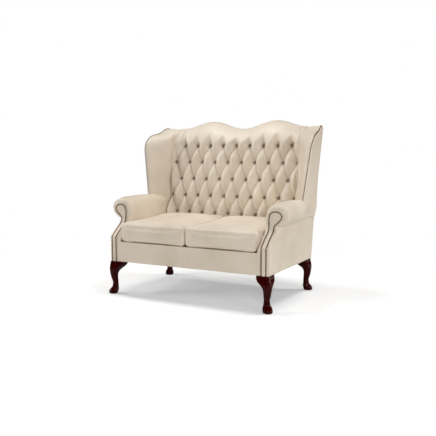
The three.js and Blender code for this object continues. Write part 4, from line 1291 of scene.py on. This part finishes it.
@dataclass
class Wing:
    """One wing: its padded inside, its outside panel and its nails."""

    palette: Palette
    # Share of the way from the front edge to the rear, and share of the wing's height
    outline_rows: tuple = (
        (0.0, 0.665), (0.03, 0.738), (0.08, 0.787), (0.156, 0.834), (0.244, 0.868), (0.334, 0.889),
        (0.43, 0.9), (0.52, 0.916), (0.616, 0.943), (0.72, 0.98), (0.8, 0.994), (0.88, 0.988), (1.0, 0.958),
    )
    # Share of the way from the front edge to the seam with the back, and share of the full stuffing
    plump_rows: tuple = (
        (0.0, 0.0), (0.02, 0.12), (0.09, 0.255), (0.3, 0.43), (0.6, 0.68), (0.85, 0.92), (1.0, 1.0),
        (2.0, 1.0),
    )
    # How far the pad hangs below the wing's base, and the room left for the outside back
    lap: float = 45 * MM
    rear_room: float = 5 * MM
    # Rounding of the top edge at the front, at the seam with the back and behind it
    front_radius: float = 72 * MM
    seam_radius: float = 50 * MM
    rear_radius: float = 16 * MM
    panel_lap: float = 12 * MM
    panel_fullness: float = 7 * MM
    nails: Nails = Nails(4.8 * MM, 3.4 * MM)

    def __post_init__(self) -> None:
        """Turns the rows into curves."""
        self.outline = Curve(self.outline_rows)
        self.plump = Curve(self.plump_rows)

    def spot(self, depth: float, rise: float, low: float) -> tuple[float, float, float]:
        """Place on the wing seen from the side.

        Args:
            depth: share from the front edge to the outside back.
            rise: share from the low level to the outline.
            low: the low level.

        Returns:
            y, z and the outline's height there.
        """
        top = PLAN.wing_base + PLAN.wing_height * self.outline.at(depth)
        z = low + (top - low) * rise
        start = PLAN.wing_front_y(max(z, PLAN.wing_base))
        y = start + (PLAN.back_y(z) - self.rear_room - start) * depth
        return y, z, top

    def pad_place(self, u: float, v: float) -> Vector:
        """Point of the padded inside of the wing.

        Args:
            u: share from the front edge to the rear, closer set at the front.
            v: share from behind the arm to the outline, closer set at the top.

        Returns:
            The point.
        """
        y, z, top = self.spot(u**1.7, 1 - (1 - v) ** 1.5, PLAN.wing_base - self.lap)
        outer = PLAN.wing_x(y, max(z, PLAN.wing_base)) - 1.5 * MM
        full = outer - PLAN.inside_x(z) - 0.5 * MM
        reach = (y - PLAN.wing_front_y(z)) / (PLAN.seam_y(z) - PLAN.wing_front_y(z))
        radius = self.front_radius + (self.seam_radius - self.front_radius) * eased(reach / 0.95)
        radius += (self.rear_radius - self.seam_radius) * eased((reach - 0.85) / 0.3)
        round_top = rounded(top - z, radius, 2.2)
        thick = full * self.plump.at(reach) * round_top
        lift = wobble(Vector((outer, y, z)), 1.4 * MM, 80 * MM) * round_top
        return Vector((outer - thick - lift, y, z))

    def panel_place(self, u: float, v: float) -> Vector:
        """Point of the outside panel of the wing.

        Args:
            u: share from the front edge to the rear, closer set at the front.
            v: share from the arm's roll to the outline, closer set at the top.

        Returns:
            The point.
        """
        y, z, top = self.spot(u**1.4, 1 - (1 - v) ** 1.3, PLAN.roll_base + self.panel_lap)
        front = y - PLAN.wing_front_y(max(z, PLAN.wing_base))
        rear = PLAN.back_y(z) - self.rear_room - y
        x = PLAN.wing_x(y, z) - 3 * MM
        edge = self.panel_fullness * min(rounded(front, 24 * MM), rounded(top - z, 14 * MM))
        crown = 2 * MM * eased(min(front, rear, top - z) / (60 * MM))
        tuck = 1.5 * MM * (1 - rounded(rear, 4 * MM))
        lift = wobble(Vector((x, y, z)), 0.8 * MM, 120 * MM)
        return Vector((x + edge + crown - tuck + lift, y, z))

    def nail_path(self) -> list[Vector]:
        """Line of the nails up the front edge and along the top edge."""
        spots = [self.spot(0.0, k / 60, PLAN.wing_base + 2 * MM) for k in range(60)]
        spots += [self.spot((k / 160) ** 1.7, 1.0, PLAN.wing_base) for k in range(161)]
        return [Vector((PLAN.wing_x(y, z) - 1 * MM, y - 0.5 * MM, z)) for y, z, _ in spots]

    def nail_way(self, point: Vector) -> Vector:
        """Way out of the wing's edge at a point of the nail line: sideways and off its middle."""
        off = Vector((0.55, point.y - PLAN.front - 0.6, point.z - 0.8)).normalized()
        return off + Vector((0.5, 0, 0))

    def build(self) -> None:
        """Builds both wings; the left one is the right one's mirror image."""
        pad = cover("wing_leather_right", 60, 70, self.pad_place, Vector((-1, 0, 0)), 1.5 * MM)
        panel = cover("outside_wing_leather_right", 50, 50, self.panel_place, Vector((1, 0, 0)), 2 * MM)
        nails = self.nails.row("wing_nails_right", self.nail_path(), self.nail_way)
        dress_both(pad, self.palette.hide, "wing_pad")
        dress_both(panel, self.palette.hide, "outside_wing")
        dress_both(nails, self.palette.nails, "wing_nail_trim")


@dataclass
class OutsideBack:
    """Plain outside back with a row of nails along its top edge."""

    palette: Palette
    # Panel's top edge and the nails below the crest, and the nails below the panel's edge over the wings
    edge_drop: float = 12 * MM
    nail_drop: float = 3.5 * MM
    wing_nail_drop: float = 3 * MM
    # Share of the wing's height that its rear corner has, and share of the width that the nails cross
    corner_share: float = 0.955
    nail_share: float = 0.965
    fullness: float = 4 * MM
    nails: Nails = Nails(4.8 * MM, 3.4 * MM)

    def edge_z(self, share: float) -> float:
        """Top edge of the panel.

        Args:
            share: place across, from -1 at the left to 1 at the right.

        Returns:
            The height there.
        """
        corner_z = PLAN.wing_base + PLAN.wing_height * self.corner_share
        corner_x = PLAN.wing_x(PLAN.back_y(corner_z), corner_z)
        x = abs(share) * corner_x
        hump = PLAN.crest_z(x) - self.edge_drop
        return hump + (corner_z - hump) * eased((x - PLAN.half_seat) / (corner_x - PLAN.half_seat))

    def place(self, u: float, v: float) -> Vector:
        """Point of the outside back.

        Args:
            u: share from the left to the right.
            v: share from the leg to the top edge.

        Returns:
            The point.
        """
        share = 2 * u - 1
        top = self.edge_z(share)
        z = PLAN.leg_top + (top - PLAN.leg_top) * v
        half = PLAN.rear_x(z) - 0.5 * MM
        edge = min((1 - abs(share)) * half, top - z, z - PLAN.leg_top)
        crown = self.fullness * eased(edge / (140 * MM)) - 3 * MM * (1 - rounded(edge, 5 * MM))
        point = Vector((share * half, PLAN.back_y(z) - 1 * MM, z))
        point.y += crown + wobble(point, 1 * MM, 160 * MM) * eased(edge / (40 * MM))
        return point

    def nail_spot(self, share: float) -> Vector:
        """Point of the nail line: behind the crest, and on the panel's edge over the wings.

        Args:
            share: place across, from -1 at the left to 1 at the right.

        Returns:
            The point.
        """
        x = abs(share) * PLAN.rear_x(PLAN.crest)
        over_wing = eased((x - PLAN.half_seat + 10 * MM) / (30 * MM))
        above = (self.edge_drop - self.nail_drop) * (1 - over_wing) - self.wing_nail_drop * over_wing
        z = self.edge_z(share) + above
        return Vector((share * PLAN.rear_x(z), PLAN.back_y(z) + 3 * MM, z))

    def build(self) -> None:
        """Builds the panel and its nails."""
        panel = cover("outside_back_leather", 150, 110, self.place, Vector((0, 1, 0)))
        dress(panel, self.palette.hide, "frame", ["outside_back"])
        path = [self.nail_spot((2 * k / 300 - 1) * self.nail_share) for k in range(301)]
        nails = self.nails.row("back_nails", path, lambda point: Vector((0, 0.5, 0.85)))
        dress(nails, self.palette.nails, "frame", ["back_nail_trim"])


@dataclass
class FrontBorder:
    """Leather border under the cushions, with an upright seam at its middle."""

    palette: Palette
    half: float = 0.471
    seam_depth: float = 1.8 * MM
    seam_width: float = 2.6 * MM
    # Height, size and reach of the puckers beside the seam
    pucker: float = 0.7 * MM
    pucker_size: float = 9 * MM
    pucker_reach: float = 14 * MM
    # Share of the way over the leather from below, how far it lies behind the front, share of the height
    profile_rows: tuple = (
        (0.0, 0.012, 0.0), (0.08, 0.003, 0.0), (0.16, 0.0, 0.04), (0.5, -0.0015, 0.5), (0.8, 0.0, 0.955),
        (0.86, 0.002, 0.99), (0.91, 0.008, 1.0), (1.0, 0.045, 1.0),
    )

    def __post_init__(self) -> None:
        """Turns the rows into a curve."""
        self.profile = Curve(self.profile_rows)

    def place(self, u: float, v: float) -> Vector:
        """Point of the border.

        Args:
            u: share from the left to the right, closer set at the seam.
            v: share from under the seat rail over the front to the platform.

        Returns:
            The point.
        """
        spread = 2 * u - 1
        x = self.half * math.copysign(abs(spread) ** 1.5, spread)
        back, up = self.profile.row(v)
        z = PLAN.leg_top + (PLAN.border_top - PLAN.leg_top) * up
        back += self.pucker * math.sin(z / self.pucker_size) * math.exp(-abs(x) / self.pucker_reach)
        back += self.seam_depth * math.exp(-((x / self.seam_width) ** 2))
        return Vector((x, PLAN.front + back + wobble(Vector((x, 0, z)), 0.9 * MM, 110 * MM), z))

    def build(self) -> None:
        """Builds the border."""
        border = cover("front_border_leather", 240, 36, self.place, Vector((0, -1, 0)))
        dress(border, self.palette.hide, "frame", ["front_border"])


@dataclass
class SeatCushion:
    """Loose seat cushion: boxed, feather-wrapped foam in a leather cover."""

    palette: Palette
    corner_power: float = 38.0
    outer_power: float = 20.0
    side_height: float = 110 * MM
    # Spread of the front corner beyond the arm's inside: how far, from which x on and over what width
    flare: float = 6 * MM
    flare_x: float = 0.42
    flare_width: float = 25 * MM
    # How far back the spread reaches, and the height above which it reaches further, by that share
    flare_depth: float = 14 * MM
    flare_z: float = 0.355
    flare_slope: float = 0.6
    low_corner: float = 8 * MM
    crown: float = 11 * MM
    rear_rise: float = 17 * MM
    rear_crown: float = 13 * MM
    front_reach: float = 7 * MM
    rear_reach: float = 12 * MM
    draw: float = 4 * MM
    voxel: float = 5.5 * MM
    pressure: float = 3.0
    cap: float = 3.5 * MM
    seam_depth: float = 1.2 * MM
    seam_width: float = 2.4 * MM
    # Heights of the boxing seams, as shares of the side
    seam_shares: tuple = (0.045, 0.985)
    # Place between the two poles; height, inset and fullness of the sides there
    ring_rows: tuple = (
        (0.0, 0.0, 1.0, 0.0), (0.05, 0.0, 0.4, 0.0), (0.1, 0.0, 0.08, 0.0), (0.13, 0.02, 0.035, 0.1),
        (0.17, 0.075, 0.012, 0.25), (0.22, 0.15, 0.002, 0.5), (0.34, 0.35, 0.0, 0.95), (0.46, 0.6, 0.0, 1.0),
        (0.56, 0.84, 0.0, 0.6), (0.61, 0.96, 0.004, 0.3), (0.64, 0.995, 0.014, 0.1), (0.67, 1.03, 0.035, 0.0),
        (0.73, 1.2, 0.11, 0.0), (0.82, 1.55, 0.3, 0.0), (0.9, 1.83, 0.55, 0.0), (1.0, 2.0, 1.0, 0.0),
    )

    def place(self, u: float, v: float) -> Vector:
        """Point of the right cushion before it is filled.

        Args:
            u: share round the cushion.
            v: share from the middle of its underside to the middle of its top.

        Returns:
            The point.
        """
        half, middle = self.half, self.middle
        up, inset, bulge = self.rings.row(v)
        angle = 2 * math.pi * u
        c, s = math.cos(angle), math.sin(angle)
        power = self.outer_power if c > 0 and s < 0 else self.corner_power
        reach = (abs(c) ** power + abs(s) ** power) ** (-1 / power)
        x, y = c * reach, s * reach
        pull = self.draw * (1 - bulge)
        dx = half.x * (1 - inset) * x - math.copysign(pull * (1 - y * y), x) * min(1.0, abs(x))
        dy = half.y * (1 - inset) * y - math.copysign(pull * (1 - x * x), y) * min(1.0, abs(y))
        back = (dy / half.y + 1) / 2
        rise = back * (self.rear_rise + self.rear_crown * (1 - (dx / half.x) ** 2))
        height = min(up, 1.0) * self.side_height + max(up - 1.0, 0.0) * self.crown + min(up, 1.0) ** 2 * rise
        return Vector((middle.x + dx, middle.y + dy, self.low.z + height))

    def fill_out(self, cushion: bpy.types.Object) -> None:
        """Swells the cushion by cloth simulation, so that its leather is drawn over the filling.

        Args:
            cushion: the closed piece, its own mesh.
        """
        pick(cushion)
        remesh = cushion.modifiers.new("Even faces", "REMESH")
        remesh.mode = "VOXEL"
        remesh.voxel_size = self.voxel
        bpy.ops.object.modifier_apply(modifier=remesh.name)
        rest = [point.co.copy() for point in cushion.data.vertices]
        cloth = cushion.modifiers.new("Filling", "CLOTH")
        settings = cloth.settings
        settings.quality = 5
        settings.mass = 0.4
        settings.tension_stiffness = 25
        settings.compression_stiffness = 25
        settings.shear_stiffness = 12
        settings.bending_stiffness = 3
        settings.use_pressure = True
        settings.uniform_pressure_force = self.pressure
        settings.effector_weights.gravity = 0
        cloth.collision_settings.use_collision = False
        scene = bpy.context.scene
        for step in range(1, 21):
            scene.frame_set(step)
        bpy.ops.object.modifier_apply(modifier=cloth.name)
        scene.frame_set(1)
        for point, start in zip(cushion.data.vertices, rest):
            move = point.co - start
            if move.length > self.cap:
                move *= self.cap / move.length
            point.co = start + move
        even = cushion.modifiers.new("Even", "SMOOTH")
        even.factor = 0.5
        even.iterations = 2
        bpy.ops.object.modifier_apply(modifier=even.name)

    def sew(self, cushion: bpy.types.Object) -> None:
        """Draws the leather in along the boxing seams and keeps the cushion in its space.

        Args:
            cushion: the filled piece.
        """
        low, half, middle, side = self.low, self.half, self.middle, self.side_height
        for point in cushion.data.vertices:
            inward = Vector((middle.x - point.co.x, middle.y - point.co.y, 0))
            across = inward.x / half.x
            back = (point.co.y - low.y) / (2 * half.y)
            rise = back * (self.rear_rise + self.rear_crown * (1 - across**2))
            if max(abs(across), abs(inward.y) / half.y) > 0.85:
                lower, upper = self.seam_shares
                for seam in (low.z + lower * side, low.z + upper * (side + rise)):
                    pull = math.exp(-(((point.co.z - seam) / self.seam_width) ** 2))
                    point.co += inward.normalized() * self.seam_depth * pull
            point.co.z += wobble(point.co, 1.4 * MM, 90 * MM) * eased((point.co.z - low.z) / side)
            depth = self.flare_depth + self.flare_slope * max(point.co.z - self.flare_z, 0.0)
            spread = self.flare * (1 - eased((point.co.y - low.y) / depth))
            if point.co.x > middle.x:
                point.co.x += spread * eased((point.co.x - self.flare_x) / self.flare_width)
            room = self.low_corner * (1 - rounded(point.co.z - low.z, self.low_corner))
            point.co.x = middle.x + (point.co.x - middle.x) * (1 - room / half.x)
            point.co.x = min(max(point.co.x, 0.6 * MM), PLAN.half_seat - 0.8 * MM + spread)
            point.co.z = max(point.co.z, low.z)

    def build(self) -> None:
        """Builds both cushions, each from its own place."""
        self.rings = Curve(self.ring_rows)
        low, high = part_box("seat_cushion_right")
        self.low = low + Vector((1 * MM, -self.front_reach, 0))
        high = high + Vector((1 * MM, self.rear_reach, 0))
        self.middle, self.half = (high + self.low) / 2, (high - self.low) / 2
        cushion = loops("seat_cushion_leather_right", 280, 80, self.place)
        self.fill_out(cushion)
        pick(cushion)
        finer = cushion.modifiers.new("Smooth", "SUBSURF")
        finer.levels = finer.render_levels = 1
        bpy.ops.object.modifier_apply(modifier=finer.name)
        self.sew(cushion)
        smooth(cushion)
        dress_both(cushion, self.palette.hide, "seat_cushion", loose=True)


@dataclass
class CabrioleLeg:
    """Cabriole leg: ears along the rails, a swelling knee, a slim ankle and a pad foot turned outwards."""

    palette: Palette
    top_width: float = 77.5 * MM
    # Height, half width and outward shift in shares of the top width, and how square the section is
    rows: tuple = (
        (0.0, 0.27, 0.5, 0.0), (0.01, 0.315, 0.5, 0.0), (0.03, 0.35, 0.5, 0.0), (0.07, 0.365, 0.485, 0.0),
        (0.118, 0.355, 0.434, 0.0), (0.16, 0.31, 0.38, 0.0), (0.217, 0.25, 0.332, 0.0),
        (0.335, 0.22, 0.315, 0.0), (0.458, 0.262, 0.375, 0.0), (0.6, 0.305, 0.415, 0.08),
        (0.66, 0.34, 0.39, 0.15), (0.72, 0.395, 0.33, 0.3), (0.775, 0.455, 0.235, 0.5),
        (0.82, 0.495, 0.145, 0.68), (0.86, 0.515, 0.08, 0.8), (0.9, 0.519, 0.03, 0.88),
        (0.94, 0.515, 0.008, 0.93), (0.985, 0.502, 0.0, 0.96), (1.0, 0.49, 0.0, 0.97),
    )
    # How square a section can get, and the gap under the seat frame
    squareness: float = 0.93
    top_gap: float = 0.3 * MM

    def build_one(self, name: str, x_side: int, y_side: int) -> None:
        """Builds one leg.

        Args:
            name: the node that it replaces.
            x_side: 1 on the right and -1 on the left.
            y_side: 1 at the rear and -1 at the front.
        """
        curve = Curve(self.rows)
        corner_y = PLAN.front if y_side < 0 else PLAN.front + PLAN.base_depth
        base = Vector((
            x_side * (PLAN.half_body - self.top_width / 2), corner_y - y_side * self.top_width / 2, 0
        ))
        height = PLAN.leg_top - self.top_gap

        def place(u: float, v: float) -> Vector:
            """Point of the leg.

            Args:
                u: share round it.
                v: share of its height.

            Returns:
                The point.
            """
            half, shift, square = curve.row(v)
            angle = 2 * math.pi * u
            c, s = math.cos(angle), math.sin(angle)
            power = 2 / (1 - self.squareness * square)
            reach = half * self.top_width / (abs(c) ** power + abs(s) ** power) ** (1 / power)
            out = shift * self.top_width / math.sqrt(2)
            return Vector((base.x + x_side * out + reach * c, base.y + y_side * out + reach * s, v * height))

        leg = loops(f"{name}_polished", 80, 110, place)
        smooth(leg, 50)
        dress(leg, self.palette.mahogany, "frame", [name])

    def build(self) -> None:
        """Builds the four legs."""
        for side, x_side in ((Side.RIGHT, 1), (Side.LEFT, -1)):
            self.build_one(f"front_leg_{side.value}", x_side, -1)
            self.build_one(f"rear_leg_{side.value}", x_side, 1)


@dataclass
class HiddenFrame:
    """Timbers, springs and cloths inside the settee, which keep their shapes and get their finishes."""

    palette: Palette

    def finish_of(self, name: str) -> Optional[bpy.types.Material]:
        """Finish of a node.

        Args:
            name: name of the node.

        Returns:
            The finish, or None if a piece replaces the node.
        """
        if name.startswith("seat_spring"):
            return self.palette.springs
        cloths = {
            "seat_deck": self.palette.felt, "dust_cover": self.palette.bottoming,
            "back_hessian": self.palette.hessian,
        }
        if name in cloths:
            return cloths[name]
        timber = ("rail", "brace", "block", "post", "wing_frame")
        return self.palette.beech if any(word in name for word in timber) else None

    def build(self) -> None:
        """Gives every node that still shows its finish."""
        for name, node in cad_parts.items():
            finish = self.finish_of(name)
            if finish is not None and not node.hide_render:
                node.data.materials.clear()
                node.data.materials.append(finish)
                LOG.info("%s: %s", name, finish.name)


@dataclass
class Studio:
    """Camera, floor, lamps and world."""

    # The photograph's camera: picture size and focal length in pixels, place in metres, angles in degrees
    frame_size: float = 436.0
    focal_px: float = 612.13
    camera_x: float = 1.7808
    camera_setback: float = -2.9662
    camera_z: float = 0.8733
    tilt: float = 83.707
    turn: float = 27.776
    sensor: float = 36.0
    floor_tone: str = "#D8D7D5"
    # The floor as the camera sees it: its brightness, and how it turns plain white away from the settee
    shown_albedo: float = 1.25
    glow: float = 0.32
    glow_start: float = 1.0
    glow_end: float = 2.2
    floor_size: float = 30.0
    aim_height: float = 0.5
    lamp_distance: float = 4.0
    # Lamp, degrees from straight ahead towards the right, degrees up, size and watts
    lamps: tuple = (
        ("overhead lamp left", -90, 75, 0.9, 46.0), ("overhead lamp right", 90, 75, 0.9, 36.0),
        ("front lamp left", -60, 12, 1.0, 50.0), ("front lamp right", 30, 12, 1.0, 41.0),
        ("side lamp left", -90, 35, 1.0, 36.5), ("side lamp right", 60, 12, 1.0, 25.0),
        ("rear lamp right", 135, 60, 1.0, 42.0), ("low lamp right", 120, 4, 1.3, 50.0),
    )

    def build_camera(self) -> None:
        """Camera at the photograph's place."""
        data = bpy.data.cameras.new("camera")
        data.sensor_width = self.sensor
        data.lens = self.focal_px / self.frame_size * self.sensor
        camera = bpy.data.objects.new("camera", data)
        bpy.context.scene.collection.objects.link(camera)
        camera.location = (self.camera_x, PLAN.front + self.camera_setback, self.camera_z)
        camera.rotation_euler = Euler((math.radians(self.tilt), 0, math.radians(self.turn)))
        bpy.context.scene.camera = camera

    def is_seen(self, tree: bpy.types.NodeTree) -> Socket:
        """1 where the camera sees the surround directly, and 0 where it is light or lies in gloss."""
        return add_node(tree, "LightPath").outputs["Is Camera Ray"]

    def build_floor(self) -> None:
        """White floor that takes the soft shadow."""
        deselect()
        bpy.ops.mesh.primitive_plane_add(size=self.floor_size)
        floor = bpy.context.object
        floor.name = "floor"
        material = bpy.data.materials.new("studio floor")
        material.use_nodes = True
        tree = material.node_tree
        tree.nodes.clear()
        lit = add_node(tree, "BsdfDiffuse", {"Color": hex_to_linear(self.floor_tone)})
        shown = add_node(tree, "BsdfDiffuse", {"Color": (self.shown_albedo,) * 3 + (1,)})
        white = add_node(tree, "Emission", {"Color": (1, 1, 1, 1), "Strength": 1.0})
        coords = add_node(tree, "TexCoord").outputs["Object"]
        away = add_node(tree, "VectorMath", {0: coords}, operation="LENGTH")
        share = add_node(
            tree, "MapRange",
            {
                "Value": away.outputs["Value"], "From Min": self.glow_start, "From Max": self.glow_end,
                "To Min": self.glow, "To Max": 1.0,
            },
            interpolation_type="SMOOTHSTEP",
        )
        seen_floor = add_node(
            tree, "MixShader",
            {0: share.outputs["Result"], 1: shown.outputs["BSDF"], 2: white.outputs["Emission"]},
        )
        shader = add_node(
            tree, "MixShader",
            {0: self.is_seen(tree), 1: lit.outputs["BSDF"], 2: seen_floor.outputs["Shader"]},
        )
        add_node(tree, "OutputMaterial", {"Surface": shader.outputs["Shader"]})
        floor.data.materials.append(material)

    def build_lamps(self) -> None:
        """Soft lamps round the settee and above it, all aimed at the middle of the seat."""
        aim = Vector((0, 0, self.aim_height))
        for name, azimuth, elevation, size, power in self.lamps:
            a, e = math.radians(azimuth), math.radians(elevation)
            away = Vector((math.cos(e) * math.sin(a), -math.cos(e) * math.cos(a), math.sin(e)))
            data = bpy.data.lights.new(name, "AREA")
            data.shape = "SQUARE"
            data.size = size
            data.energy = power
            lamp = bpy.data.objects.new(name, data)
            bpy.context.scene.collection.objects.link(lamp)
            lamp.location = aim + away * self.lamp_distance
            lamp.rotation_euler = (-away).to_track_quat("-Z", "Y").to_euler()

    def build_world(self) -> None:
        """Surround that is white to the camera and adds no light of its own."""
        world = bpy.data.worlds.new("studio")
        world.use_nodes = True
        tree = world.node_tree
        tree.nodes.clear()
        light = add_node(tree, "Background", {"Color": (1, 1, 1, 1), "Strength": self.is_seen(tree)})
        add_node(tree, "OutputWorld", {"Surface": light.outputs["Background"]})
        bpy.context.scene.world = world

    def build(self) -> None:
        """Sets up the studio."""
        scene = bpy.context.scene
        scene.view_settings.view_transform = "Standard"
        self.build_camera()
        self.build_floor()
        self.build_lamps()
        self.build_world()


def main() -> None:
    """Builds the settee and its studio."""
    logging.basicConfig(level=logging.INFO, format="%(name)s %(message)s")
    studio = Studio()
    studio.build()
    palette = Palette()
    for part in (
        ButtonedBack(palette), Arm(palette), Wing(palette), OutsideBack(palette), FrontBorder(palette),
        SeatCushion(palette), CabrioleLeg(palette), HiddenFrame(palette),
    ):
        part.build()
    deselect()


if __name__ == "__main__":
    main()
